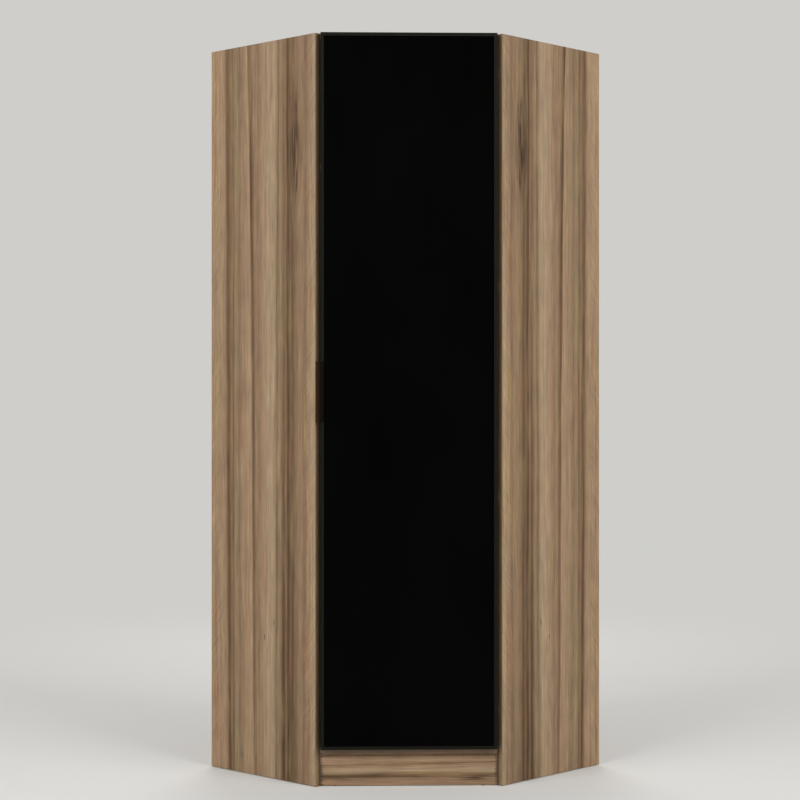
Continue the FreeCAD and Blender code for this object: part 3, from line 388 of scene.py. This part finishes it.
    # streaks of a few mm and mottling over the whole sheet, then its pores
    streaks, mottle, thin = [addNode(group, "ShaderNodeMapRange", {
        0: noises[key], 1: noiseRange[0], 2: noiseRange[1],
        3: middle - grain[key + "Light"], 4: middle + grain[key + "Light"]})
        for key, middle in (("streak", 1), ("mottle", 0), ("fine", 1))]
    pores = addNode(group, "ShaderNodeMapRange", {
        0: noises["pore"], 1: grain["poreFrom"], 2: grain["poreTo"], 3: grain["poreLight"], 4: 1})
    light = streaks
    for layer, operation in ((ripples, "ADD"), (cloudy, "ADD"), (mottle, "ADD"),
                             (thin, "MULTIPLY"), (pores, "MULTIPLY")):
        light = addNode(group, "ShaderNodeMath", {0: light, 1: layer}, operation=operation)
    colour = addNode(group, "ShaderNodeVectorMath", {0: colour, "Scale": light}, operation="SCALE")
    addNode(group, "NodeGroupOutput", {"Colour": colour, "Height": pores})
    return group


# Walnut decor on board: satin, closed surface that keeps a little of the printed pores' relief
walnut = {
    "roughness": (0.58, 0.70), "specular": 0.2,
    "relief": 0.12, "reliefDepth": 0.5,
    "wornAndHighlight": "#b39a7c", "wornAndHighlightShare": 0.45, "edgeReach": 2.5,
}


def walnutFinish(name, group, turn, shift, gapShade=None):
    finish, tree = newFinish(name)
    coords = addNode(tree, "ShaderNodeTexCoord").outputs["Object"]
    place = addNode(tree, "ShaderNodeMapping", {
        "Vector": coords, "Rotation": [math.radians(a) for a in turn], "Location": [s * mm for s in shift]})
    wood = addNode(tree, "ShaderNodeGroup", {"Place": place}, node_tree=group)
    low, high = walnut["roughness"]
    sheen = addNode(tree, "ShaderNodeMapRange", {
        0: wood.outputs["Height"], 1: grain["poreLight"], 2: 1, 3: high, 4: low})
    bump = addNode(tree, "ShaderNodeBump", {
        "Height": wood.outputs["Height"], "Strength": walnut["relief"],
        "Distance": walnut["reliefDepth"] * mm})
    # sharp edges turn paler: partly wear, partly a painted highlight along the edge
    wornAndHighlit = addNode(tree, "ShaderNodeMath", {
        0: wornAndHighlitEdges(tree, walnut["edgeReach"], coords), 1: walnut["wornAndHighlightShare"]}, operation="MULTIPLY")
    colour = addNode(tree, "ShaderNodeMix", {
        0: wornAndHighlit, 6: wood.outputs["Colour"], 7: linear(walnut["wornAndHighlight"])}, data_type="RGBA")
    # painted shade: the edge band turns darker towards the door gap, as the gap's shadow would make it
    if gapShade:
        start, end, most = gapShade
        across = addNode(tree, "ShaderNodeSeparateXYZ", {0: place}).outputs["X"]
        gapShaded = addNode(tree, "ShaderNodeMapRange", {0: across, 1: start * mm, 2: end * mm, 3: 0, 4: most})
        colour = addNode(tree, "ShaderNodeMix", {
            0: gapShaded, 6: colour, 7: linear(tones["smoke"])}, data_type="RGBA")
    bsdf = addNode(tree, "ShaderNodeBsdfPrincipled", {
        "Base Color": colour, "Roughness": sheen, "Normal": bump, "Specular IOR Level": walnut["specular"]})
    addNode(tree, "ShaderNodeOutputMaterial", {"Surface": bsdf})
    return finish


panelGroup = buildFigure("walnutPanelFigure", panelFigure)
plinthGroup = buildFigure("walnutPlinthFigure", plinthFigure)
cornerShift = cadHigh.y / math.sqrt(2) / mm     # the two walls meet at the back corner

# edge bands of the side panels: painted shade darkens them towards the door gap, standing in for the gap's
# shadow
edgeBand = {"figureAt": 114, "gapShadeFrom": 6, "gapShadeTo": 17, "gapShade": 0.85}
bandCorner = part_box("left_side_edge_band")[0]
edgeShift = edgeBand["figureAt"] - (bandCorner.x + bandCorner.y) / math.sqrt(2) / mm
edgeGapShade = (edgeBand["figureAt"] + edgeBand["gapShadeFrom"], edgeBand["figureAt"] + edgeBand["gapShadeTo"],
            edgeBand["gapShade"])

# where the figure lies: finish, figure, turn in degrees, shift in mm, painted gap shade, pieces
lying = (0, 90, 0)
woodPieces = [
    ("walnutLeftPanel", panelGroup, (0, 0, 45), (cornerShift, 0, 0), None, ["left_side_panel"]),
    ("walnutRightPanel", panelGroup, (0, 0, 135), (cornerShift, 0, 0), None, ["right_side_panel"]),
    ("walnutLeftEdge", panelGroup, (0, 0, -45), (edgeShift, 0, 0), edgeGapShade, ["left_side_edge_band"]),
    ("walnutRightEdge", panelGroup, (0, 0, -135), (edgeShift, 0, 0), edgeGapShade, ["right_side_edge_band"]),
    # the boards' grain runs from side to side
    ("walnutBoards", panelGroup, (0, 90, 90), (440, 0, 1040), None,
     ["top_panel", "bottom_panel", "hat_shelf"]),
    ("walnutPlinth", plinthGroup, lying, (0, 0, 0), None, ["plinth_board", "bottom_edge_band"]),
    # the upper edge bands take the plinth's figure from about 40 mm up
    ("walnutShelfEdge", plinthGroup, lying, (-1660, 0, 0), None, ["shelf_edge_band"]),
    ("walnutTopEdge", plinthGroup, lying, (-2020, 0, 0), None, ["top_edge_band"]),
]
for name, group, turn, shift, gapShade, pieces in woodPieces:
    dress(walnutFinish(name, group, turn, shift, gapShade), *pieces)
print("walnut decor on side panels, boards, edges and plinth")


# Finishes whose colour and roughness follow one noise, stretched along how the surface was made; sizes in mm
plain = {"edgeReach": 1.2, "reliefDepth": 0.3}


def plainFinish(name, colours, grainSize, roughness, relief=0, turn=(0, 0, 0), wornAndHighlight=None, litLipSpan=None,
                shader=None):
    finish, tree = newFinish(name)
    coords = addNode(tree, "ShaderNodeTexCoord").outputs["Object"]
    place = addNode(tree, "ShaderNodeMapping", {
        "Vector": coords, "Rotation": [math.radians(a) for a in turn]})
    stretched = addNode(tree, "ShaderNodeVectorMath", {
        0: place, 1: perMetre(grainSize)}, operation="MULTIPLY")
    noise = addNode(tree, "ShaderNodeTexNoise", {"Vector": stretched, "Scale": 1, "Detail": 3})
    colour = addNode(tree, "ShaderNodeValToRGB", {0: noise}, stops=spreadColours(colours))
    rough = addNode(tree, "ShaderNodeMapRange", {
        0: noise, 1: noiseMiddle[0], 2: noiseMiddle[1], 3: roughness[0], 4: roughness[1]})
    # sharp edges take the paler colour: a painted highlight along the edge, with some wear
    if wornAndHighlight:
        wornAndHighlit = wornAndHighlitEdges(tree, plain["edgeReach"], coords)
        # painted highlight: the pull's outer lip takes the paler colour
        if litLipSpan:
            across = addNode(tree, "ShaderNodeSeparateXYZ", {0: coords}).outputs["X"]
            litLipMask = addNode(tree, "ShaderNodeMapRange", {
                0: across, 1: litLipSpan[0] * mm, 2: litLipSpan[1] * mm, 3: 1, 4: 0})
            wornAndHighlit = addNode(tree, "ShaderNodeMath", {0: wornAndHighlit, 1: litLipMask}, operation="MAXIMUM")
        colour = addNode(tree, "ShaderNodeMix", {0: wornAndHighlit, 6: colour, 7: linear(wornAndHighlight)}, data_type="RGBA")
    inputs = {"Base Color": colour, "Roughness": rough, **(shader or {})}
    if relief:
        inputs["Normal"] = addNode(tree, "ShaderNodeBump", {
            "Height": noise, "Strength": relief, "Distance": plain["reliefDepth"] * mm})
    bsdf = addNode(tree, "ShaderNodeBsdfPrincipled", inputs)
    addNode(tree, "ShaderNodeOutputMaterial", {"Surface": bsdf})
    return finish


# Float glass painted black on its back: deep black, mirror-smooth, with faint wiping marks
blackGlass = {
    "colours": ["#020202", "#040404"], "grainSize": (180, 180, 420), "roughness": (0.03, 0.08),
    "shader": {"Specular IOR Level": 0.02},
}
dress(plainFinish("backPaintedBlackGlass", **blackGlass), "door_glass")

# Anodised aluminium, brushed along each profile: dark bronze-grey with a dull line of light
anodised = {
    "colours": ["#191713", "#211f18", "#1c1a15"], "roughness": (0.30, 0.42), "relief": 0.1,
    "wornAndHighlight": "#3a3831", "shader": {"Metallic": 0.9},
}
dress(plainFinish("darkAnodisedUpright", grainSize=(1.2, 1.2, 160), **anodised),
      "door_frame_left", "door_frame_right")
dress(plainFinish("darkAnodisedCross", grainSize=(160, 1.2, 1.2), **anodised),
      "door_frame_top", "door_frame_bottom")

# Bronze-anodised pull: darker than the frame, its outer lip a warm brown as a painted highlight where its
# outer face catches the light
pull = {
    "colours": ["#0d0906", "#140c07"], "grainSize": (1.2, 1.2, 90), "roughness": (0.32, 0.45), "relief": 0.1,
    "wornAndHighlight": "#362516", "shader": {"Metallic": 0.9},
}
litLipSize = {"full": 4, "endShare": 0.6}        # mm from the outer edge, and share of the pull's width
pullLow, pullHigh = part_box("door_handle")
outer, inner = pullLow.x / mm, pullHigh.x / mm
litLipSpan = (outer + litLipSize["full"], outer + litLipSize["endShare"] * (inner - outer))
dress(plainFinish("bronzeAnodisedPull", litLipSpan=litLipSpan, **pull), "door_handle")

# Nickel-plated pressed steel: bright and warm, with soft press marks
nickel = {
    "colours": ["#b4b0a6", "#bdb9b0", "#c6c3bb"], "grainSize": (9, 9, 9), "roughness": (0.24, 0.34),
    "relief": 0.02, "wornAndHighlight": "#d6d3cc", "shader": {"Metallic": 1.0},
}
dress(plainFinish("nickelPlatedSteel", **nickel),
      *[f"hinge_{part}_{i}" for part in ("cup", "arm", "plate") for i in range(1, 5)],
      "hinge_pins", "catch_plate", "wall_brackets")

# Zinc plate: cool grey with a faint yellow passivation, duller than nickel
zinc = {
    "colours": ["#a9a89a", "#b9bab6", "#c4c6c6"], "grainSize": (3, 3, 3), "roughness": (0.30, 0.48),
    "relief": 0.1, "shader": {"Metallic": 1.0},
}
zincFinish = plainFinish("zincPlatedSteel", **zinc)
dress(zincFinish, "cam_locks", "cam_bolts")

# Chromed tube: mirror-bright with drawing lines along it; its cast brackets are a little duller
chromeTube = {
    "colours": ["#c9cacc", "#d8d9da"], "grainSize": (140, 1.5, 1.5), "roughness": (0.07, 0.16),
    "relief": 0.05, "shader": {"Metallic": 1.0},
}
chromeBracket = {
    "colours": ["#c3c4c6", "#d4d5d6"], "grainSize": (5, 5, 5), "roughness": (0.12, 0.22),
    "relief": 0.05, "shader": {"Metallic": 1.0},
}
dress(plainFinish("chromedTube", **chromeTube), "hanging_rail")
dress(plainFinish("chromedBracket", **chromeBracket), "rail_bracket_left", "rail_bracket_right")

# Moulded black plastic: fine spark-eroded grain, drawn at 1.5 mm so that it shows
blackPlastic = {
    "colours": ["#161617", "#202022"], "grainSize": (1.5, 1.5, 1.5), "roughness": (0.45, 0.6), "relief": 0.35,
}
dress(plainFinish("mouldedBlackPlastic", **blackPlastic), "magnetic_catch", "rail_end_caps", "floor_glides")

# Soft milky rubber, and black closed-cell foam with open pores at its cut sides
milkyRubber = {
    "colours": ["#a8a7a2", "#b9b8b3"], "grainSize": (1.2, 1.2, 1.2), "roughness": (0.6, 0.75), "relief": 0.2,
}
blackFoam = {
    "colours": ["#18181a", "#242426"], "grainSize": (1.5, 1.5, 1.5), "roughness": (0.85, 0.95), "relief": 0.4,
}
dress(plainFinish("milkyBumperRubber", **milkyRubber), "door_bumpers")
dress(plainFinish("blackClosedCellFoam", **blackFoam), "glass_tape")

# Door board: black melamine with a pearl texture of about 2 mm
blackMelamine = {
    "colours": ["#131313", "#1b1b1b"], "grainSize": (2, 2, 2), "roughness": (0.42, 0.58), "relief": 0.3,
    "shader": {"Specular IOR Level": 0.35},
}
dress(plainFinish("blackPearlMelamine", **blackMelamine), "door_board")

# Planed softwood: pale summer wood with thin darker winter lines every few mm; the dowels are as pale
softwood = {
    "colours": ["#b98f5c", "#d3b07c", "#dcbf90", "#d8b884"], "grainSize": (5, 5, 400),
    "roughness": (0.55, 0.7), "relief": 0.25,
}
for name, turn, piece in (("softwoodUpright", (0, 0, 0), "back_corner_post"),
                          ("softwoodBlocks", (0, 90, 0), "plinth_blocks"),
                          ("softwoodBearer", (90, 0, 0), "bottom_support"),
                          ("beechDowels", (0, 90, 0), "dowels")):
    dress(plainFinish(name, turn=turn, **softwood), piece)


# Hardboard back: brown pressed fibres with the press's wire mesh outside, pale printed linen inside
hardboard = {
    "fibres": ["#6a4c2f", "#8a6843", "#9f7d54"], "fibre": (4, 4, 4),
    "blotch": (170, 170, 320), "blotchLight": 0.10,
    "mesh": 7,                   # mm; the real wires are 1.5 mm apart, drawn this coarse so that they show
    "meshLight": 0.06, "meshRelief": 0.4, "relief": 0.25, "reliefDepth": 0.4,
    "print": ["#b3a48c", "#c6b9a3", "#d2c7b4"], "thread": (2.5, 2.5, 30),
    "insideFacing": -0.3,        # a face that looks further to the front than this has the print
    "wornAndHighlight": "#b08d60", "edgeReach": 2.5, "roughness": (0.6, 0.8), "specular": 0.25,
}
finish, tree = newFinish("hardboardBack")
texture = addNode(tree, "ShaderNodeTexCoord")
coords = texture.outputs["Object"]
facing = addNode(tree, "ShaderNodeSeparateXYZ", {0: texture.outputs["Normal"]})
inside = addNode(tree, "ShaderNodeMath", {
    0: facing.outputs["Y"], 1: hardboard["insideFacing"]}, operation="LESS_THAN")
noises = []
for key in ("fibre", "blotch", "thread"):
    stretched = addNode(tree, "ShaderNodeVectorMath", {
        0: coords, 1: perMetre(hardboard[key])}, operation="MULTIPLY")
    noises.append(addNode(tree, "ShaderNodeTexNoise", {"Vector": stretched, "Scale": 1, "Detail": 4}))
fibre, blotch, thread = noises
fibreColour = addNode(tree, "ShaderNodeValToRGB", {0: fibre}, stops=spreadColours(hardboard["fibres"]))
printColour = addNode(tree, "ShaderNodeValToRGB", {0: thread}, stops=spreadColours(hardboard["print"]))
turned = addNode(tree, "ShaderNodeMapping", {"Vector": coords, "Rotation": (0, 0, math.radians(45))})
sides = addNode(tree, "ShaderNodeSeparateXYZ", {0: turned})
along = addNode(tree, "ShaderNodeMath", {0: sides.outputs["X"], 1: sides.outputs["Y"]}, operation="ADD")
waves = []
for way in (along, sides.outputs["Z"]):
    angle = addNode(tree, "ShaderNodeMath", {
        0: way, 1: math.tau / (hardboard["mesh"] * mm)}, operation="MULTIPLY")
    waves.append(addNode(tree, "ShaderNodeMath", {0: angle}, operation="SINE"))
wires = addNode(tree, "ShaderNodeMath", {0: waves[0], 1: waves[1]}, operation="MULTIPLY")
patchy = addNode(tree, "ShaderNodeMapRange", {
    0: blotch, 1: noiseMiddle[0], 2: noiseMiddle[1],
    3: 1 - hardboard["blotchLight"], 4: 1 + hardboard["blotchLight"]})
shade = addNode(tree, "ShaderNodeMath", {
    0: wires, 1: hardboard["meshLight"], 2: patchy}, operation="MULTIPLY_ADD")
fibreColour = addNode(tree, "ShaderNodeVectorMath", {0: fibreColour, "Scale": shade}, operation="SCALE")
fibreColour = addNode(tree, "ShaderNodeMix", {
    0: wornAndHighlitEdges(tree, hardboard["edgeReach"], coords), 6: fibreColour,
    7: linear(hardboard["wornAndHighlight"])}, data_type="RGBA")
colour = addNode(tree, "ShaderNodeMix", {0: inside, 6: fibreColour, 7: printColour}, data_type="RGBA")
smooth, rough = hardboard["roughness"]
sheen = addNode(tree, "ShaderNodeMapRange", {
    0: fibre, 1: noiseMiddle[0], 2: noiseMiddle[1], 3: smooth, 4: rough})
relief = addNode(tree, "ShaderNodeMath", {
    0: wires, 1: hardboard["meshRelief"], 2: fibre}, operation="MULTIPLY_ADD")
bump = addNode(tree, "ShaderNodeBump", {
    "Height": relief, "Strength": hardboard["relief"], "Distance": hardboard["reliefDepth"] * mm})
bsdf = addNode(tree, "ShaderNodeBsdfPrincipled", {
    "Base Color": colour, "Roughness": sheen, "Normal": bump, "Specular IOR Level": hardboard["specular"]})
addNode(tree, "ShaderNodeOutputMaterial", {"Surface": bsdf})
dress(finish, "left_back_panel", "right_back_panel")
print("finishes on door, fittings and back")


# Cross-head screws: every screw of the solids gets a domed head with a cross recess and a tapered shank
crossScrew = {
    "headRadius": 3.5, "headHeight": 2.0, "dome": 0.7, "domeRings": 4,
    "recessSpan": 4.2, "recessWidth": 0.9, "recessDepth": 1.3,
    "shankRadius": 1.75, "tipShare": 0.55, "sides": 20, "seed": 7,
}
screwSizes = [
    ("Head Radius", "headRadius"), ("Head Height", "headHeight"), ("Dome", "dome"),
    ("Recess Span", "recessSpan"), ("Recess Width", "recessWidth"), ("Recess Depth", "recessDepth"),
    ("Shank Radius", "shankRadius"),
]


def buildScrewTree():
    tree = bpy.data.node_groups.new("crossScrews", "GeometryNodeTree")
    sockets = tree.interface
    sockets.new_socket("Geometry", in_out="INPUT", socket_type="NodeSocketGeometry")
    for name, key in screwSizes:
        sockets.new_socket(name, in_out="INPUT", socket_type="NodeSocketFloat")
    sockets.new_socket("Sides", in_out="INPUT", socket_type="NodeSocketInt")
    sockets.new_socket("Seed", in_out="INPUT", socket_type="NodeSocketInt")
    sockets.new_socket("Material", in_out="INPUT", socket_type="NodeSocketMaterial")
    sockets.new_socket("Geometry", in_out="OUTPUT", socket_type="NodeSocketGeometry")
    size = addNode(tree, "NodeGroupInput").outputs

    # head: a short cylinder standing on the surface, its top pulled into a dome
    rod = addNode(tree, "GeometryNodeMeshCylinder", {
        "Vertices": size["Sides"], "Fill Segments": crossScrew["domeRings"],
        "Radius": size["Head Radius"], "Depth": size["Head Height"]}, fill_type="TRIANGLE_FAN")
    place = addNode(tree, "GeometryNodeInputPosition")
    parts = addNode(tree, "ShaderNodeSeparateXYZ", {0: place})
    flat = addNode(tree, "ShaderNodeCombineXYZ", {0: parts.outputs["X"], 1: parts.outputs["Y"]})
    fromAxis = addNode(tree, "ShaderNodeVectorMath", {0: flat}, operation="LENGTH").outputs["Value"]
    share = addNode(tree, "ShaderNodeMath", {0: fromAxis, 1: size["Head Radius"]}, operation="DIVIDE")
    square = addNode(tree, "ShaderNodeMath", {0: share, 1: 2}, operation="POWER")
    drop = addNode(tree, "ShaderNodeMath", {0: square, 1: size["Dome"]}, operation="MULTIPLY")
    onTop = addNode(tree, "ShaderNodeMath", {0: parts.outputs["Z"], 1: 0}, operation="LESS_THAN")
    lift = addNode(tree, "ShaderNodeMath", {0: drop, 1: onTop}, operation="MULTIPLY")
    half = addNode(tree, "ShaderNodeMath", {
        0: size["Head Height"], 1: -0.5, 2: lift}, operation="MULTIPLY_ADD")
    dome = addNode(tree, "GeometryNodeSetPosition", {
        "Geometry": rod.outputs["Mesh"], "Offset": addNode(tree, "ShaderNodeCombineXYZ", {2: half})})

    # cross recess, cut from the top
    top = addNode(tree, "ShaderNodeMath", {0: size["Head Height"], 1: -1}, operation="MULTIPLY")
    cutAt = addNode(tree, "ShaderNodeCombineXYZ", {2: top})
    deep = addNode(tree, "ShaderNodeMath", {0: size["Recess Depth"], 1: 2}, operation="MULTIPLY")
    blades = []
    for spanKey, widthKey in (("Recess Span", "Recess Width"), ("Recess Width", "Recess Span")):
        blade = addNode(tree, "ShaderNodeCombineXYZ", {0: size[spanKey], 1: size[widthKey], 2: deep})
        bar = addNode(tree, "GeometryNodeMeshCube", {"Size": blade})
        blades.append(addNode(tree, "GeometryNodeTransform", {
            "Geometry": bar.outputs["Mesh"], "Translation": cutAt}))
    cut = addNode(tree, "GeometryNodeMeshBoolean", {"Mesh 1": dome}, operation="DIFFERENCE", solver="EXACT")
    for blade in blades:
        tree.links.new(blade.outputs[0], cut.inputs["Mesh 2"])

    # shank: one metre of it, scaled to each screw's own length
    tip = addNode(tree, "ShaderNodeMath", {
        0: size["Shank Radius"], 1: crossScrew["tipShare"]}, operation="MULTIPLY")
    shank = addNode(tree, "GeometryNodeMeshCone", {
        "Vertices": size["Sides"], "Radius Top": tip, "Radius Bottom": size["Shank Radius"], "Depth": 1.0})
    way = addNode(tree, "GeometryNodeInputNamedAttribute", {"Name": "way"}, data_type="FLOAT_VECTOR")
    reach = addNode(tree, "GeometryNodeInputNamedAttribute", {"Name": "reach"}, data_type="FLOAT")
    turned = addNode(tree, "FunctionNodeAlignRotationToVector", {
        "Vector": way.outputs["Attribute"]}, axis="Z")
    spin = addNode(tree, "FunctionNodeRandomValue", {
        "Max": math.tau, "Seed": size["Seed"]}, data_type="FLOAT")
    spun = addNode(tree, "FunctionNodeRotateRotation", {
        "Rotation": turned.outputs[0],
        "Rotate By": addNode(tree, "FunctionNodeAxisAngleToRotation", {
            "Axis": (0, 0, 1), "Angle": spin.outputs[1]}).outputs[0]}, rotation_space="LOCAL")
    stretch = addNode(tree, "ShaderNodeCombineXYZ", {0: 1, 1: 1, 2: reach.outputs["Attribute"]})
    heads = addNode(tree, "GeometryNodeInstanceOnPoints", {
        "Points": size["Geometry"], "Instance": cut.outputs["Mesh"], "Rotation": spun})
    shanks = addNode(tree, "GeometryNodeInstanceOnPoints", {
        "Points": size["Geometry"], "Instance": shank.outputs["Mesh"], "Rotation": spun, "Scale": stretch})
    both = addNode(tree, "GeometryNodeJoinGeometry")
    for part in (heads, shanks):
        tree.links.new(part.outputs[0], both.inputs[0])
    real = addNode(tree, "GeometryNodeRealizeInstances", {"Geometry": both})
    painted = addNode(tree, "GeometryNodeSetMaterial", {"Geometry": real, "Material": size["Material"]})
    addNode(tree, "NodeGroupOutput", {0: painted})
    return tree


# Points within mergeWithin mm are one, and a screw's two ends lie beyond endShare of its half length
screwSearch = {"mergeWithin": 0.01, "endShare": 0.8}


# Where each screw of a solid node sits: the point under its head, its way into the wood and its length
def findScrews(name):
    shape = bmesh.new()
    shape.from_mesh(nodes[name].data)
    bmesh.ops.remove_doubles(shape, verts=shape.verts, dist=screwSearch["mergeWithin"] * mm)
    shape.verts.ensure_lookup_table()
    left, found = set(range(len(shape.verts))), []
    for start in range(len(shape.verts)):
        if start not in left:
            continue
        left.remove(start)
        waiting, island = [shape.verts[start]], []
        while waiting:
            vert = waiting.pop()
            island.append(vert.co.copy())
            for edge in vert.link_edges:
                other = edge.other_vert(vert)
                if other.index in left:
                    left.remove(other.index)
                    waiting.append(other)
        points = np.array(island)
        centre = (points.min(0) + points.max(0)) / 2
        spread, axes = np.linalg.eigh(np.cov((points - centre).T))
        odd = 2 if spread[2] - spread[1] > spread[1] - spread[0] else 0     # the axis unlike the other two
        axis = axes[:, odd]
        along = (points - centre) @ axis
        radius = np.linalg.norm(points - centre - np.outer(along, axis), axis=1)
        farEnd = radius[along > screwSearch["endShare"] * along.max()].max()
        nearEnd = radius[along < screwSearch["endShare"] * along.min()].max()
        if farEnd > nearEnd:
            axis, along = -axis, -along
        length = along.max() - along.min()
        head = centre + axis * (along.min() + crossScrew["headHeight"] * mm)
        found.append((head, axis, length - crossScrew["headHeight"] * mm))
    shape.free()
    return found


screwTree = buildScrewTree()
screwNodes = {
    "door": ["hinge_cup_screws", "handle_screws", "catch_plate_screw"],
    "carcass": ["back_panel_screws", "wall_bracket_screws", "hinge_plate_screws", "hinge_arm_screws",
                "rail_bracket_screws", "catch_screws", "plinth_block_screws"],
}
for body, names in screwNodes.items():
    screws = [screw for name in names for screw in findScrews(name)]
    mesh = bpy.data.meshes.new(body + "ScrewPoints")
    mesh.from_pydata([head for head, way, reach in screws], [], [])
    mesh.attributes.new("way", "FLOAT_VECTOR", "POINT").data.foreach_set(
        "vector", np.array([way for head, way, reach in screws], np.float32).ravel())
    mesh.attributes.new("reach", "FLOAT", "POINT").data.foreach_set(
        "value", np.array([reach for head, way, reach in screws], np.float32))
    points = bpy.data.objects.new(body + "Screws", mesh)
    scene.collection.objects.link(points)
    modifier = points.modifiers.new("crossScrews", "NODES")
    modifier.node_group = screwTree
    inputs = {s.name: s.identifier for s in screwTree.interface.items_tree if s.in_out == "INPUT"}
    for name, key in screwSizes:
        modifier[inputs[name]] = crossScrew[key] * mm
    modifier[inputs["Sides"]], modifier[inputs["Seed"]] = crossScrew["sides"], crossScrew["seed"]
    modifier[inputs["Material"]] = zincFinish
    bpy.context.view_layer.update()
    made = bpy.data.meshes.new_from_object(points.evaluated_get(bpy.context.evaluated_depsgraph_get()))
    points.modifiers.clear()
    points.data = made
    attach(points, body)
    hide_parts(*names)
    print(body, "screws:", len(screws), "with", len(made.polygons), "faces")


# Studio, in metres: a pale round floor that fades into a pale room, a large soft lamp for each side panel
# and one behind
studio = {
    "floorRadius": 7.0, "floorSides": 96, "fadeFrom": 1.2, "fadeTo": 4.5,
    "floor": "#e2e1de", "mottle": 0.97, "mottlesPerMetre": 3, "floorRough": 0.85, "floorSpecular": 0.1,
    "floorGlow": 0.03, "room": "#cfcecb", "ambient": "#ffffff", "roomLight": 0.32,
    "lampSize": 3.2,
    "lamps": {
        "leftSoftbox": ((-3.2, -3.8, 3.2), 140), "rightSoftbox": ((3.2, -3.8, 3.2), 140),
        "backSoftbox": ((0, 4.6, 3.4), 110),
    },
    "aim": (0, -0.2, 0.9),
}


# 1 for the rays that show floor and room themselves: straight to the camera, mirrored or through glass
def seenRays(tree):
    rays = addNode(tree, "ShaderNodeLightPath").outputs
    seen = addNode(tree, "ShaderNodeMath", {
        0: rays["Is Camera Ray"], 1: rays["Is Glossy Ray"]}, operation="MAXIMUM")
    return addNode(tree, "ShaderNodeMath", {0: seen, 1: rays["Is Transmission Ray"]}, operation="MAXIMUM")


mesh = bpy.data.meshes.new("studioFloor")
shape = bmesh.new()
bmesh.ops.create_circle(
    shape, cap_ends=True, cap_tris=True, segments=studio["floorSides"], radius=studio["floorRadius"])
shape.to_mesh(mesh)
shape.free()
floor = bpy.data.objects.new("studioFloor", mesh)
scene.collection.objects.link(floor)

# matt painted floor, faintly mottled, see-through towards its rim
finish, tree = newFinish("mattStudioFloor")
coords = addNode(tree, "ShaderNodeTexCoord").outputs["Object"]
far = addNode(tree, "ShaderNodeVectorMath", {0: coords}, operation="LENGTH").outputs["Value"]
fade = addNode(tree, "ShaderNodeMapRange", {
    0: far, 1: studio["fadeFrom"], 2: studio["fadeTo"]}, interpolation_type="SMOOTHSTEP")
mottle = addNode(tree, "ShaderNodeTexNoise", {
    "Vector": coords, "Scale": studio["mottlesPerMetre"], "Detail": 3})
plainTone = linear(studio["floor"])
mottleTone = [c * studio["mottle"] for c in plainTone[:3]] + [1]
paint = addNode(tree, "ShaderNodeMix", {0: mottle, 6: plainTone, 7: mottleTone}, data_type="RGBA")
matt = addNode(tree, "ShaderNodeBsdfPrincipled", {
    "Base Color": paint, "Roughness": studio["floorRough"], "Specular IOR Level": studio["floorSpecular"]})
glowing = addNode(tree, "ShaderNodeMath", {0: seenRays(tree), 1: studio["floorGlow"]}, operation="MULTIPLY")
glow = addNode(tree, "ShaderNodeEmission", {"Strength": glowing})
pale = addNode(tree, "ShaderNodeAddShader", {0: matt, 1: glow})
clear = addNode(tree, "ShaderNodeBsdfTransparent")
mixed = addNode(tree, "ShaderNodeMixShader", {0: fade, 1: pale, 2: clear})
addNode(tree, "ShaderNodeOutputMaterial", {"Surface": mixed})
floor.data.materials.append(finish)

world = bpy.data.worlds.new("paleRoom")
world.use_nodes = True
tree = world.node_tree
tree.nodes.clear()
ambient = addNode(tree, "ShaderNodeBackground", {
    "Color": linear(studio["ambient"]), "Strength": studio["roomLight"]})
room = addNode(tree, "ShaderNodeBackground", {"Color": linear(studio["room"]), "Strength": 1})
mixed = addNode(tree, "ShaderNodeMixShader", {0: seenRays(tree), 1: ambient, 2: room})
addNode(tree, "ShaderNodeOutputWorld", {"Surface": mixed})
scene.world = world

for name, (place, power) in studio["lamps"].items():
    lamp = bpy.data.lights.new(name, "AREA")
    lamp.shape, lamp.size, lamp.energy = "SQUARE", studio["lampSize"], power
    softbox = bpy.data.objects.new(name, lamp)
    softbox.location = place
    softbox.rotation_euler = (Vector(studio["aim"]) - Vector(place)).to_track_quat("-Z", "Y").to_euler()
    softbox.visible_camera = False
    scene.collection.objects.link(softbox)
print("studio set")
